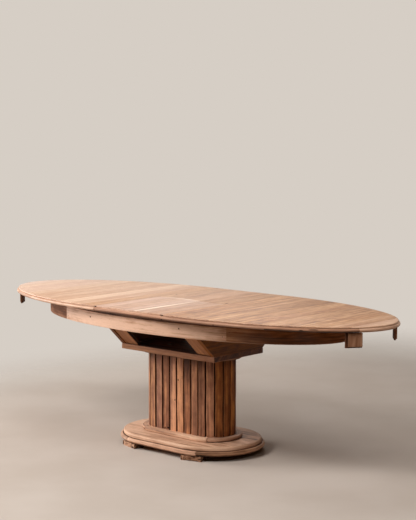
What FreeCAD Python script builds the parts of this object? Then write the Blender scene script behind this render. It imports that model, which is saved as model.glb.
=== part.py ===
import FreeCAD, Part
import os

# Extending oval pedestal dining table, drawn with its leaf in place.
# X runs along the table, Y across it, Z up from the floor under the middle of the base.

doc = FreeCAD.newDocument("extending_oval_table")

# Driving dimensions, millimetres
DRIVING = {
    "table_height": 780,
    "oval_half_length": 1022,
    "oval_half_width": 490,
    "leaf_width": 474,
    "edge_height": 30,
    "plank_thickness": 22,
    "plank_lip": 10,
    "plank_setback": 9,
    "band_width": 45,
    "band_round": 8,
    "band_near_share": 0.57,
    "band_far_share": 0.94,
    "leaf_gap": 0.5,
    "leaf_seam": 0.6,
    "leaf_undercut": 13,
    "hinge_radius": 6,
    "hinge_depth": 24,
    "hinge_fit": 0.05,
    "apron_inset": 33,
    "apron_thickness": 26,
    "apron_height": 83,
    "apron_clearance": 1,
    "apron_joint": 565,
    "block_length": 120,
    "block_depth": 46,
    "block_height": 56,
    "wood_fit": 0.2,
    "slide_fit": 0.5,
    "rail_half_length": 640,
    "rail_middle": 220,
    "rail_width": 30,
    "rail_height": 59,
    "groove_depth": 10,
    "groove_height": 14,
    "groove_drop": 29,
    "runner_width": 29.5,
    "runner_inner": 60,
    "runner_outer": 700,
    "runner_heel": 40,
    "heel_drop": 23,
    "runner_screw_radius": 3,
    "runner_screw_first": 320,
    "runner_screw_pitch": 150,
    "runner_screw_bite": 14,
    "stop_across": 165,
    "stop_length": 81,
    "stop_thickness": 15,
    "stop_height": 70,
    "stop_screw_radius": 2,
    "stop_screw_spread": 25,
    "stop_screw_bite": 14,
    "tray_half_length": 329,
    "tray_half_width": 193,
    "tray_thickness": 28,
    "tray_top": 539,
    "end_board_thickness": 26,
    "brace_width": 91,
    "brace_thickness": 32,
    "flare_run": 143,
    "bearer_thickness": 25,
    "bearer_width": 118,
    "bolt_radius": 5,
    "bolt_head_radius": 13,
    "bolt_head_height": 4,
    "bolt_half_length": 110,
    "bolt_half_width": 55,
    "bolt_fit": 0.3,
    "column_half_straight": 151,
    "column_radius": 119,
    "slat_thickness": 20,
    "slat_gap": 3.5,
    "liner_thickness": 6,
    "former_thickness": 25,
    "post_size": 60,
    "post_spread": 120,
    "collar_radius": 154,
    "collar_height": 20,
    "collar_joint": 214,
    "top_collar_height": 14,
    "plinth_half_straight": 154,
    "plinth_board_radius": 254,
    "plinth_board_height": 22,
    "plinth_radius": 271,
    "plinth_height": 24,
    "plinth_round": 10,
    "plinth_joint": 230,
    "foot_height": 28,
    "foot_length": 104,
    "foot_depth": 60,
    "foot_inset": 6,
    "foot_angle": 75,
}
PLANKS_PER_HALF = 11
PLANKS_PER_LEAF = 5
SLATS_PER_SIDE = 6
SLATS_PER_END = 8
SCREWS_PER_RUNNER = 3
HINGED_PLANKS = (0, 2, 4)

# An edge counts as level, or as lying on a face, when it strays by less than this
EDGE_STRAY = 0.1

dims = doc.addObject("Spreadsheet::Sheet", "dims")
for row, (alias, value) in enumerate(DRIVING.items(), start=1):
    dims.set(f"A{row}", alias)
    dims.set(f"B{row}", str(value))
    dims.setAlias(f"B{row}", alias)

# Heights and places that follow from the driving dimensions
FOLLOWING = {
    "plank_bottom": "dims.table_height - dims.plank_thickness",
    "band_top": "dims.table_height - dims.plank_lip",
    "band_bottom": "dims.table_height - dims.edge_height",
    "half_middle": "dims.leaf_width / 2",
    "plank_pitch": f"dims.oval_half_length / {PLANKS_PER_HALF}",
    "leaf_pitch": f"dims.leaf_width / {PLANKS_PER_LEAF}",
    "leaf_top_half": "dims.leaf_width / 2 - dims.leaf_gap",
    "band_inner_width": "dims.oval_half_width - dims.band_width",
    "band_joint_near": "half_middle + dims.oval_half_length * dims.band_near_share",
    "band_joint_far": "half_middle + dims.oval_half_length * dims.band_far_share",
    "apron_top": "band_bottom - dims.apron_clearance",
    "apron_bottom": "apron_top - dims.apron_height",
    "apron_half_length": "dims.oval_half_length - dims.apron_inset",
    "apron_half_width": "dims.oval_half_width - dims.apron_inset",
    "apron_inner_length": "apron_half_length - dims.apron_thickness",
    "apron_inner_width": "apron_half_width - dims.apron_thickness",
    "rail_bottom": "plank_bottom - dims.rail_height",
    "groove_top": "plank_bottom - dims.groove_drop + dims.groove_height",
    "groove_bottom": "plank_bottom - dims.groove_drop",
    "rail_inner": "dims.rail_middle - dims.rail_width / 2",
    "rail_outer": "dims.rail_middle + dims.rail_width / 2",
    "bearer_bottom": "rail_bottom - dims.bearer_thickness",
    "bearer_inner": "dims.tray_half_length - dims.bearer_width",
    "brace_outer": "dims.tray_half_length - dims.end_board_thickness",
    "brace_inner": "brace_outer - dims.brace_width",
    "flare_top_width": "dims.tray_half_width + dims.flare_run",
    "tray_bottom": "dims.tray_top - dims.tray_thickness",
    "plinth_top": "dims.foot_height + dims.plinth_height",
    "plinth_board_top": "plinth_top + dims.plinth_board_height",
    "column_bottom": "plinth_board_top + dims.collar_height",
    "column_top": "tray_bottom - dims.top_collar_height",
    "column_core": "dims.column_radius - dims.slat_thickness",
    "column_middle": "(column_bottom + column_top) / 2",
    "slat_pitch": f"2 * dims.column_half_straight / {SLATS_PER_SIDE}",
    "end_slat_angle": f"180 / {SLATS_PER_END}",
    "stop_turn": "asin(dims.stop_across / apron_half_width)",
    "stop_along": "apron_half_length * cos(stop_turn)",
    "oval_ratio": "apron_half_length / apron_half_width",
    "stop_angle": "atan(dims.stop_across / stop_along * oval_ratio ^ 2)",
}

places = doc.addObject("Spreadsheet::Sheet", "places")
for row, (alias, formula) in enumerate(FOLLOWING.items(), start=1):
    places.set(f"A{row}", alias)
    places.set(f"B{row}", f"={formula}")
    places.setAlias(f"B{row}", alias)
doc.recompute()

# The same values for formulas and for the rounded edges
D = {alias: f"dims.{alias}" for alias in DRIVING}
P = {alias: f"places.{alias}" for alias in FOLLOWING}
FAR = 2 * DRIVING["oval_half_length"]

sub_parts = []


def sub_part(label, solid):
    solid.Label = label
    sub_parts.append(solid)
    return solid


def group(label, solids):
    bundle = doc.addObject("Part::Compound", label)
    bundle.Links = solids
    return sub_part(label, bundle)


def mirrored(side, near, far):
    # A span on the right of the middle for side 1, or its mirror image for side -1.
    if side > 0:
        return (near, far)
    return (f"-({far})", f"-({near})")


def box(name, x_span, y_span, z_span):
    solid = doc.addObject("Part::Box", name)
    for axis, size, span in zip("xyz", ("Length", "Width", "Height"), (x_span, y_span, z_span)):
        low, high = span
        solid.setExpression(f"Placement.Base.{axis}", f"{low}")
        solid.setExpression(size, f"({high}) - ({low})")
    return solid


def tangent_box(name, centre, angle, reach, length, z_span):
    # A box that faces away from a centre at an angle, between two distances from it.
    near, far = reach
    solid = doc.addObject("Part::Box", name)
    solid.setExpression("Length", f"({far}) - ({near})")
    solid.setExpression("Width", length)
    solid.setExpression("Height", f"({z_span[1]}) - ({z_span[0]})")
    x = f"{centre[0]} + ({near}) * cos({angle}) + {length} / 2 * sin({angle})"
    y = f"{centre[1]} + ({near}) * sin({angle}) - {length} / 2 * cos({angle})"
    solid.setExpression("Placement.Base.x", x)
    solid.setExpression("Placement.Base.y", y)
    solid.setExpression("Placement.Base.z", z_span[0])
    solid.setExpression("Placement.Rotation.Angle", angle)
    return solid


def upright(name, x, y, z_span, radius):
    solid = doc.addObject("Part::Cylinder", name)
    solid.setExpression("Radius", radius)
    solid.setExpression("Height", f"({z_span[1]}) - ({z_span[0]})")
    solid.setExpression("Placement.Base.x", x)
    solid.setExpression("Placement.Base.y", y)
    solid.setExpression("Placement.Base.z", z_span[0])
    return solid


def crosswise(name, x, start, z, face, length, radius):
    # A round bar that runs across the table from a starting place, to the front or to the back.
    solid = doc.addObject("Part::Cylinder", name)
    solid.Placement.Rotation = FreeCAD.Rotation(FreeCAD.Vector(1, 0, 0), -90 * face)
    solid.setExpression("Radius", radius)
    solid.setExpression("Height", length)
    solid.setExpression("Placement.Base.x", x)
    solid.setExpression("Placement.Base.y", start)
    solid.setExpression("Placement.Base.z", z)
    return solid


def oval(name, x, half_length, half_width, z_span):
    outline = doc.addObject("Part::Ellipse", f"{name}_outline")
    outline.setExpression("MajorRadius", half_length)
    outline.setExpression("MinorRadius", half_width)
    outline.setExpression("Placement.Base.x", x)
    outline.setExpression("Placement.Base.z", z_span[0])
    solid = doc.addObject("Part::Extrusion", name)
    solid.Base = outline
    solid.DirMode = "Custom"
    solid.Dir = FreeCAD.Vector(0, 0, 1)
    solid.Solid = True
    solid.setExpression("LengthFwd", f"({z_span[1]}) - ({z_span[0]})")
    return solid


def stadium(name, half_straight, radius, z_span):
    middle = box(f"{name}_middle", (f"-{half_straight}", half_straight), (f"-({radius})", radius), z_span)
    left = upright(f"{name}_left", f"-{half_straight}", "0", z_span, radius)
    right = upright(f"{name}_right", half_straight, "0", z_span, radius)
    return fuse(name, [middle, left, right])


def fuse(name, solids):
    solid = doc.addObject("Part::MultiFuse", name)
    solid.Shapes = solids
    solid.Refine = True
    return solid


def cut(name, base, tool):
    solid = doc.addObject("Part::Cut", name)
    solid.Base = base
    solid.Tool = tool
    return solid


def common(name, solids):
    solid = doc.addObject("Part::MultiCommon", name)
    solid.Shapes = solids
    return solid


def rounded(name, base, radius, chosen):
    # Rounds the edges of a solid that a test picks out.
    doc.recompute()
    solid = doc.addObject("Part::Fillet", name)
    solid.Base = base
    solid.Edges = [
        (number, radius, radius)
        for number, edge in enumerate(base.Shape.Edges, start=1)
        if chosen(edge)
    ]
    return solid


def quartered(name, whole, joint, z_span):
    # Cuts a long oval piece into front, back, left end and right end at two joints across it.
    spans = {
        "front": ((f"-{joint}", joint), (-FAR, 0)),
        "back": ((f"-{joint}", joint), (0, FAR)),
        "left": ((-FAR, f"-{joint}"), (-FAR, FAR)),
        "right": ((joint, FAR), (-FAR, FAR)),
    }
    pieces = {}
    for place, (x_span, y_span) in spans.items():
        region = box(f"{name}_{place}_region", x_span, y_span, z_span)
        pieces[place] = common(f"{name}_{place}_piece", [whole, region])
    return pieces


# Feet, set round the plinth's ends just inside its edge
for side, side_name in ((-1, "left"), (1, "right")):
    for face, face_name in ((-1, "front"), (1, "back")):
        turn = {
            (1, 1): D["foot_angle"],
            (1, -1): f"-{D['foot_angle']}",
            (-1, 1): f"180 - {D['foot_angle']}",
            (-1, -1): f"180 + {D['foot_angle']}",
        }[side, face]
        outer = f"{D['plinth_radius']} - {D['foot_inset']}"
        foot = tangent_box(
            f"foot_{face_name}_{side_name}",
            (f"{side} * {D['plinth_half_straight']}", "0"),
            turn,
            (f"{outer} - {D['foot_depth']}", outer),
            D["foot_length"],
            ("0", D["foot_height"]),
        )
        sub_part(f"foot_{face_name}_{side_name}", foot)

# Stepped plinth and collar
plinth_span = (D["foot_height"], P["plinth_top"])
plinth_blank = stadium("plinth_blank", D["plinth_half_straight"], D["plinth_radius"], plinth_span)
plinth = rounded(
    "plinth_rounded",
    plinth_blank,
    DRIVING["plinth_round"],
    lambda edge: edge.BoundBox.ZLength < EDGE_STRAY,
)
for place, piece in quartered("plinth", plinth, D["plinth_joint"], plinth_span).items():
    sub_part(f"plinth_{place}", piece)
board_span = (P["plinth_top"], P["plinth_board_top"])
board_blank = stadium("board_blank", D["plinth_half_straight"], D["plinth_board_radius"], board_span)
plinth_board = rounded(
    "board_rounded",
    board_blank,
    DRIVING["plinth_round"],
    lambda edge: edge.BoundBox.ZMin > board_blank.Shape.BoundBox.Center.z,
)
sub_part("plinth_board", plinth_board)
collar_span = (P["plinth_board_top"], P["column_bottom"])
collar = stadium("collar_blank", D["column_half_straight"], D["collar_radius"], collar_span)
group("collar", list(quartered("collar", collar, D["collar_joint"], collar_span).values()))

# Column: posts and formers inside a bent liner, slats outside it
column_span = (P["column_bottom"], P["column_top"])
liner_radius = f"{P['column_core']} - {D['wood_fit']}"
liner_inside = f"{liner_radius} - {D['liner_thickness']}"
liner_outer = stadium("liner_outer", D["column_half_straight"], liner_radius, column_span)
liner_inner = stadium("liner_inner", D["column_half_straight"], liner_inside, column_span)
sub_part("column_liner", cut("liner_tube", liner_outer, liner_inner))
former_radius = f"{liner_inside} - {D['wood_fit']}"
former_spans = {
    "bottom": (P["column_bottom"], f"{P['column_bottom']} + {D['former_thickness']}"),
    "middle": (
        f"{P['column_middle']} - {D['former_thickness']} / 2",
        f"{P['column_middle']} + {D['former_thickness']} / 2",
    ),
    "top": (f"{P['column_top']} - {D['former_thickness']}", P["column_top"]),
}
post_span = (former_spans["bottom"][1], former_spans["top"][0])
post_holes = []
for side, side_name in ((-1, "left"), (1, "right")):
    middle = f"{side} * {D['post_spread']}"
    half = f"{D['post_size']} / 2"
    loose = f"({half} + {D['wood_fit']})"
    post = box(
        f"post_{side_name}_solid",
        (f"{middle} - {half}", f"{middle} + {half}"),
        (f"-{half}", half),
        post_span,
    )
    sub_part(f"post_{side_name}", post)
    hole = box(
        f"post_{side_name}_hole",
        (f"{middle} - {loose}", f"{middle} + {loose}"),
        (f"-{loose}", loose),
        post_span,
    )
    post_holes.append(hole)

bolts = []
bolt_holes = []
bolt_bottom = former_spans["top"][0]
for side in (-1, 1):
    for face in (-1, 1):
        x = f"{side} * {D['bolt_half_length']}"
        y = f"{face} * {D['bolt_half_width']}"
        number = len(bolts) + 1
        shank = upright(f"bolt_{number}_shank", x, y, (bolt_bottom, D["tray_top"]), D["bolt_radius"])
        head_span = (D["tray_top"], f"{D['tray_top']} + {D['bolt_head_height']}")
        head = upright(f"bolt_{number}_head", x, y, head_span, D["bolt_head_radius"])
        bolts.append(fuse(f"bolt_{number}", [shank, head]))
        loose = f"{D['bolt_radius']} + {D['bolt_fit']}"
        bolt_holes.append(upright(f"bolt_{number}_hole", x, y, (bolt_bottom, D["tray_top"]), loose))
bolt_drill = fuse("bolt_drill", bolt_holes)

formers = {
    place: stadium(f"former_{place}_blank", D["column_half_straight"], former_radius, span)
    for place, span in former_spans.items()
}
sub_part("former_bottom", formers["bottom"])
sub_part("former_middle", cut("former_middle_holed", formers["middle"], fuse("post_cutter", post_holes)))
sub_part("former_top", cut("former_top_holed", formers["top"], bolt_drill))

for face, face_name in ((-1, "front"), (1, "back")):
    slats = []
    for index in range(SLATS_PER_SIDE):
        left_edge = f"{index} * {P['slat_pitch']} - {D['column_half_straight']}"
        x_span = (
            f"{left_edge} + {D['slat_gap']} / 2",
            f"{left_edge} + {P['slat_pitch']} - {D['slat_gap']} / 2",
        )
        y_span = mirrored(face, P["column_core"], D["column_radius"])
        slats.append(box(f"slat_{face_name}_{index + 1}", x_span, y_span, column_span))
    group(f"slats_{face_name}", slats)

for side, side_name in ((-1, "left"), (1, "right")):
    slats = []
    for index in range(SLATS_PER_END):
        slat = doc.addObject("Part::Wedge", f"slat_{side_name}_{index + 1}")
        half_turn = f"tan({P['end_slat_angle']} / 2)"
        inner_half = f"{P['column_core']} * {half_turn} - {D['slat_gap']} / 2"
        outer_half = f"{D['column_radius']} * {half_turn} - {D['slat_gap']} / 2"
        slat.setExpression("Ymax", D["column_radius"])
        slat.setExpression("Ymin", P["column_core"])
        slat.setExpression("Xmax", inner_half)
        slat.setExpression("Xmin", f"-({inner_half})")
        slat.setExpression("X2max", outer_half)
        slat.setExpression("X2min", f"-({outer_half})")
        for depth in ("Z", "Z2"):
            slat.setExpression(f"{depth}max", f"{column_span[1]} - {column_span[0]}")
            slat.setExpression(f"{depth}min", "0")
        slat.setExpression("Placement.Base.x", f"{side} * {D['column_half_straight']}")
        slat.setExpression("Placement.Base.z", column_span[0])
        turn = f"{side} * ({index} + 0.5) * {P['end_slat_angle']}"
        slat.setExpression("Placement.Rotation.Angle", f"-({turn})")
        slats.append(slat)
    group(f"slats_{side_name}", slats)

# Thin collar round the top of the column, under the tray
top_collar_span = (P["column_top"], P["tray_bottom"])
top_collar_blank = stadium("top_collar_blank", D["column_half_straight"], D["collar_radius"], top_collar_span)
top_collar = cut("top_collar_drilled", top_collar_blank, bolt_drill)
group("top_collar", list(quartered("top_collar", top_collar, D["collar_joint"], top_collar_span).values()))

# Tray with its sloping end boards and braces, which leave the leaf store open at front and back
tray_span = (P["tray_bottom"], D["tray_top"])
tray_blank = box(
    "tray_blank",
    (f"-{D['tray_half_length']}", D["tray_half_length"]),
    (f"-{D['tray_half_width']}", D["tray_half_width"]),
    tray_span,
)
sub_part("tray", cut("tray_drilled", tray_blank, bolt_drill))
group("tray_bolts", bolts)


def sloped(name, x_span, lower, upper):
    # A piece whose Y limits change from the tray up to the bearers.
    solid = doc.addObject("Part::Wedge", name)
    solid.Placement.Rotation = FreeCAD.Rotation(FreeCAD.Vector(1, 1, 1), 120)
    low, high = x_span
    solid.setExpression("Ymax", f"{P['bearer_bottom']} - {D['tray_top']}")
    solid.setExpression("Ymin", "0")
    for along, limits in (("X", lower), ("X2", upper)):
        solid.setExpression(f"{along}max", limits[1])
        solid.setExpression(f"{along}min", limits[0])
    for along in ("Z", "Z2"):
        solid.setExpression(f"{along}max", f"({high}) - ({low})")
        solid.setExpression(f"{along}min", "0")
    solid.setExpression("Placement.Base.x", low)
    solid.setExpression("Placement.Base.z", D["tray_top"])
    return solid


for side, side_name in ((-1, "left"), (1, "right")):
    end_span = mirrored(side, P["brace_outer"], D["tray_half_length"])
    end_board = sloped(
        f"end_board_{side_name}_solid",
        end_span,
        (f"-{D['tray_half_width']}", D["tray_half_width"]),
        (f"-{P['flare_top_width']}", P["flare_top_width"]),
    )
    sub_part(f"end_board_{side_name}", end_board)
    for face, face_name in ((-1, "front"), (1, "back")):
        brace = sloped(
            f"brace_{face_name}_{side_name}_solid",
            mirrored(side, P["brace_inner"], P["brace_outer"]),
            mirrored(face, f"{D['tray_half_width']} - {D['brace_thickness']}", D["tray_half_width"]),
            mirrored(face, f"{P['flare_top_width']} - {D['brace_thickness']}", P["flare_top_width"]),
        )
        sub_part(f"brace_{face_name}_{side_name}", brace)

# Oval apron, with bearers and glue blocks cut to its inside
apron_span = (P["apron_bottom"], P["apron_top"])
apron_outside = oval("apron_outside", "0", P["apron_half_length"], P["apron_half_width"], apron_span)
apron_inside = oval("apron_inside", "0", P["apron_inner_length"], P["apron_inner_width"], apron_span)
apron_ring = cut("apron_ring", apron_outside, apron_inside)
for place, piece in quartered("apron", apron_ring, D["apron_joint"], apron_span).items():
    sub_part(f"apron_{place}", piece)
inside_limit = oval(
    "inside_limit",
    "0",
    f"{P['apron_inner_length']} - {D['wood_fit']}",
    f"{P['apron_inner_width']} - {D['wood_fit']}",
    apron_span,
)
for side, side_name in ((-1, "left"), (1, "right")):
    bearer_blank = box(
        f"bearer_{side_name}_blank",
        mirrored(side, P["bearer_inner"], D["tray_half_length"]),
        (f"-{P['apron_half_width']}", P["apron_half_width"]),
        (P["bearer_bottom"], P["rail_bottom"]),
    )
    sub_part(f"bearer_{side_name}", common(f"bearer_{side_name}_fitted", [bearer_blank, inside_limit]))

blocks = []
for side in (-1, 1):
    for face in (-1, 1):
        number = len(blocks) + 1
        run = f"{D['apron_joint']} / {P['apron_inner_length']}"
        wall = f"{P['apron_inner_width']} * sqrt(1 - ({run}) ^ 2)"
        middle = f"({P['apron_bottom']} + {P['apron_top']}) / 2"
        half_length = f"{D['block_length']} / 2"
        half_height = f"{D['block_height']} / 2"
        block_blank = box(
            f"apron_block_{number}_blank",
            mirrored(side, f"{D['apron_joint']} - {half_length}", f"{D['apron_joint']} + {half_length}"),
            mirrored(face, f"{wall} - {D['block_depth']}", f"{wall} + {D['block_depth']}"),
            (f"{middle} - {half_height}", f"{middle} + {half_height}"),
        )
        blocks.append(common(f"apron_block_{number}", [block_blank, inside_limit]))
group("apron_blocks", blocks)

# Guide rails, grooved on both sides
for face, face_name in ((-1, "front"), (1, "back")):
    rail_along = (f"-{D['rail_half_length']}", D["rail_half_length"])
    rail_blank = box(
        f"rail_{face_name}_blank",
        rail_along,
        mirrored(face, P["rail_inner"], P["rail_outer"]),
        (P["rail_bottom"], P["plank_bottom"]),
    )
    groove_span = (P["groove_bottom"], P["groove_top"])
    inner_groove = box(
        f"rail_{face_name}_inner_groove",
        rail_along,
        mirrored(face, P["rail_inner"], f"{P['rail_inner']} + {D['groove_depth']}"),
        groove_span,
    )
    outer_groove = box(
        f"rail_{face_name}_outer_groove",
        rail_along,
        mirrored(face, f"{P['rail_outer']} - {D['groove_depth']}", P["rail_outer"]),
        groove_span,
    )
    grooves = fuse(f"rail_{face_name}_grooves", [inner_groove, outer_groove])
    sub_part(f"rail_{face_name}", cut(f"rail_{face_name}_grooved", rail_blank, grooves))


def runner(name, side, face):
    # The right half's runners lie inside the rails and the left half's outside, so that they can pass.
    tongue_reach = f"{D['groove_depth']} - {D['slide_fit']}"
    if side > 0:
        guided = f"{P['rail_inner']} - {D['slide_fit']}"
        body_across = (f"{guided} - {D['runner_width']}", guided)
        tongue_across = (guided, f"{P['rail_inner']} + {tongue_reach}")
    else:
        guided = f"{P['rail_outer']} + {D['slide_fit']}"
        body_across = (guided, f"{guided} + {D['runner_width']}")
        tongue_across = (f"{P['rail_outer']} - ({tongue_reach})", guided)
    along = mirrored(side, D["runner_inner"], D["runner_outer"])
    heel_outer = f"{P['bearer_inner']} - {D['slide_fit']}"
    runner_bottom = f"{P['rail_bottom']} + {D['slide_fit']}"
    beam = box(f"{name}_beam", along, mirrored(face, *body_across), (runner_bottom, P["plank_bottom"]))
    tongue = box(
        f"{name}_tongue",
        along,
        mirrored(face, *tongue_across),
        (f"{P['groove_bottom']} + {D['slide_fit']}", f"{P['groove_top']} - {D['slide_fit']}"),
    )
    heel = box(
        f"{name}_heel",
        mirrored(side, f"{heel_outer} - {D['runner_heel']}", heel_outer),
        mirrored(face, *body_across),
        (f"{P['rail_bottom']} - {D['heel_drop']}", runner_bottom),
    )
    middle = f"({body_across[0]} + {body_across[1]}) / 2"
    return fuse(f"{name}_whole", [beam, tongue, heel]), middle


def half_top(side, side_name):
    middle = f"{side} * {P['half_middle']}"
    upper = oval(
        f"{side_name}_upper",
        middle,
        f"{D['oval_half_length']} - {D['plank_setback']}",
        f"{D['oval_half_width']} - {D['plank_setback']}",
        (P["band_top"], D["table_height"]),
    )
    inner_length = f"{D['oval_half_length']} - {D['band_width']}"
    lower = oval(
        f"{side_name}_lower", middle, inner_length, P["band_inner_width"], (P["plank_bottom"], P["band_top"])
    )
    layers = fuse(f"{side_name}_layers", [upper, lower])
    planks = []
    for index in range(PLANKS_PER_HALF):
        near = f"{P['half_middle']} + {index} * {P['plank_pitch']}"
        region = box(
            f"{side_name}_plank_{index + 1}_region",
            mirrored(side, near, f"{near} + {P['plank_pitch']}"),
            (f"-{D['oval_half_width']}", D["oval_half_width"]),
            (P["plank_bottom"], D["table_height"]),
        )
        planks.append(common(f"{side_name}_plank_{index + 1}", [region, layers]))
    group(f"{side_name}_planks", planks)

    band_span = (P["band_bottom"], P["band_top"])
    band_outside = oval(
        f"{side_name}_band_outside", middle, D["oval_half_length"], D["oval_half_width"], band_span
    )
    band_inside = oval(f"{side_name}_band_inside", middle, inner_length, P["band_inner_width"], band_span)
    band_ring = cut(f"{side_name}_band_ring", band_outside, band_inside)
    nosed = rounded(
        f"{side_name}_band_nosed",
        band_ring,
        DRIVING["band_round"],
        lambda edge: edge.BoundBox.YLength > 2 * DRIVING["oval_half_width"] - DRIVING["band_width"],
    )
    near_joint = P["band_joint_near"]
    far_joint = P["band_joint_far"]
    regions = {
        "front_near": (P["half_middle"], near_joint, (-FAR, 0)),
        "front_far": (near_joint, far_joint, (-FAR, 0)),
        "end": (far_joint, FAR, (-FAR, FAR)),
        "back_far": (near_joint, far_joint, (0, FAR)),
        "back_near": (P["half_middle"], near_joint, (0, FAR)),
    }
    pieces = []
    for place, (near, far, across) in regions.items():
        region = box(f"{side_name}_band_{place}_region", mirrored(side, near, far), across, band_span)
        pieces.append(common(f"{side_name}_band_{place}", [nosed, region]))
    group(f"{side_name}_band", pieces)

    screws = []
    for face, face_name in ((-1, "front"), (1, "back")):
        runner_name = f"{side_name}_runner_{face_name}"
        whole, across = runner(runner_name, side, face)
        sub_part(runner_name, whole)
        for index in range(SCREWS_PER_RUNNER):
            along = f"{side} * ({D['runner_screw_first']} + {index} * {D['runner_screw_pitch']})"
            screw_top = f"{P['plank_bottom']} + {D['runner_screw_bite']}"
            span = (f"{P['rail_bottom']} + {D['slide_fit']}", screw_top)
            name = f"{runner_name}_screw_{index + 1}"
            screws.append(upright(name, along, f"{face} * {across}", span, D["runner_screw_radius"]))

        turn = {
            (1, 1): P["stop_angle"],
            (1, -1): f"-{P['stop_angle']}",
            (-1, 1): f"180 deg - {P['stop_angle']}",
            (-1, -1): f"180 deg + {P['stop_angle']}",
        }[side, face]
        touch = (f"{side} * ({P['half_middle']} + {P['stop_along']})", f"{face} * {D['stop_across']}")
        stop_span = (f"{P['band_bottom']} - {D['stop_height']}", P["band_bottom"])
        stop_reach = (D["slide_fit"], f"{D['slide_fit']} + {D['stop_thickness']}")
        stop_name = f"{side_name}_stop_{face_name}"
        stop = tangent_box(f"{stop_name}_block", touch, turn, stop_reach, D["stop_length"], stop_span)
        sub_part(stop_name, stop)
        for spread in (-1, 1):
            out = f"({D['slide_fit']} + {D['stop_thickness']} / 2)"
            aside = f"{spread} * {D['stop_screw_spread']}"
            x = f"{touch[0]} + {out} * cos({turn}) - {aside} * sin({turn})"
            y = f"{touch[1]} + {out} * sin({turn}) + {aside} * cos({turn})"
            span = (stop_span[0], f"{P['band_bottom']} + {D['stop_screw_bite']}")
            name = f"{stop_name}_screw_{(spread + 3) // 2}"
            screws.append(upright(name, x, y, span, D["stop_screw_radius"]))
    group(f"{side_name}_screws", screws)


half_top(-1, "left")
half_top(1, "right")

# Folding leaf: its side edges slope in below, so that it lifts out as the halves come together
leaf_wedge = doc.addObject("Part::Wedge", "leaf_wedge")
leaf_wedge.Placement.Rotation = FreeCAD.Rotation(FreeCAD.Vector(1, 0, 0), 90)
leaf_wedge.setExpression("Ymax", D["table_height"])
leaf_wedge.setExpression("Ymin", P["band_bottom"])
leaf_wedge.setExpression("Xmax", f"{P['leaf_top_half']} - {D['leaf_undercut']}")
leaf_wedge.setExpression("Xmin", f"{D['leaf_undercut']} - {P['leaf_top_half']}")
leaf_wedge.setExpression("X2max", P["leaf_top_half"])
leaf_wedge.setExpression("X2min", f"-{P['leaf_top_half']}")
for along in ("Z", "Z2"):
    leaf_wedge.setExpression(f"{along}max", D["oval_half_width"])
    leaf_wedge.setExpression(f"{along}min", f"-{D['oval_half_width']}")

for face, face_name in ((-1, "front"), (1, "back")):
    seam = f"{D['leaf_seam']} / 2"
    whole_along = (f"-{P['half_middle']}", P["half_middle"])
    upper = box(
        f"leaf_{face_name}_upper",
        whole_along,
        mirrored(face, seam, f"{D['oval_half_width']} - {D['plank_setback']}"),
        (P["band_top"], D["table_height"]),
    )
    lower = box(
        f"leaf_{face_name}_lower",
        whole_along,
        mirrored(face, seam, P["band_inner_width"]),
        (P["plank_bottom"], P["band_top"]),
    )
    layers = fuse(f"leaf_{face_name}_layers", [upper, lower])
    planks = []
    hinges = []
    for index in range(PLANKS_PER_LEAF):
        left_edge = f"{index} * {P['leaf_pitch']} - {P['half_middle']}"
        region = box(
            f"leaf_{face_name}_plank_{index + 1}_region",
            (left_edge, f"{left_edge} + {P['leaf_pitch']}"),
            (f"-{D['oval_half_width']}", D["oval_half_width"]),
            (P["plank_bottom"], D["table_height"]),
        )
        plank = common(f"leaf_{face_name}_plank_{index + 1}", [region, layers, leaf_wedge])
        if index in HINGED_PLANKS:
            seat = (
                f"{left_edge} + {P['leaf_pitch']} / 2",
                f"{face} * {seam}",
                f"{P['plank_bottom']} + {D['plank_thickness']} / 2",
                face,
                D["hinge_depth"],
            )
            hinges.append(crosswise(f"leaf_{face_name}_hinge_{index + 1}", *seat, D["hinge_radius"]))
            loose = f"{D['hinge_radius']} + {D['hinge_fit']}"
            hole = crosswise(f"leaf_{face_name}_hole_{index + 1}", *seat, loose)
            plank = cut(f"leaf_{face_name}_plank_{index + 1}_drilled", plank, hole)
        planks.append(plank)
    group(f"leaf_{face_name}_planks", planks)
    group(f"leaf_{face_name}_hinges", hinges)
    band_blank = box(
        f"leaf_{face_name}_band_blank",
        whole_along,
        mirrored(face, P["band_inner_width"], D["oval_half_width"]),
        (P["band_bottom"], P["band_top"]),
    )
    nosed = rounded(
        f"leaf_{face_name}_band_nosed",
        band_blank,
        DRIVING["band_round"],
        lambda edge: edge.BoundBox.XLength > EDGE_STRAY
        and abs(edge.BoundBox.YMin) > DRIVING["oval_half_width"] - EDGE_STRAY,
    )
    sub_part(f"leaf_{face_name}_band", common(f"leaf_{face_name}_band_fitted", [nosed, leaf_wedge]))

doc.recompute()

faults = [item.Name for item in doc.Objects if "Invalid" in item.State or "Error" in item.State]
for item in sub_parts:
    if item.Shape.isNull() or not item.Shape.isValid() or not item.Shape.Solids:
        faults.append(item.Label)
if faults:
    raise RuntimeError(f"these did not build: {sorted(set(faults))}")

os.makedirs("parts", exist_ok=True)
for item in sub_parts:
    item.Shape.exportStep(f"parts/{item.Label}.step")
print(f"{len(sub_parts)} sub-parts written")
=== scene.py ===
import math
import random

import bmesh
import bpy
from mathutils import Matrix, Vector, noise


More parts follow.
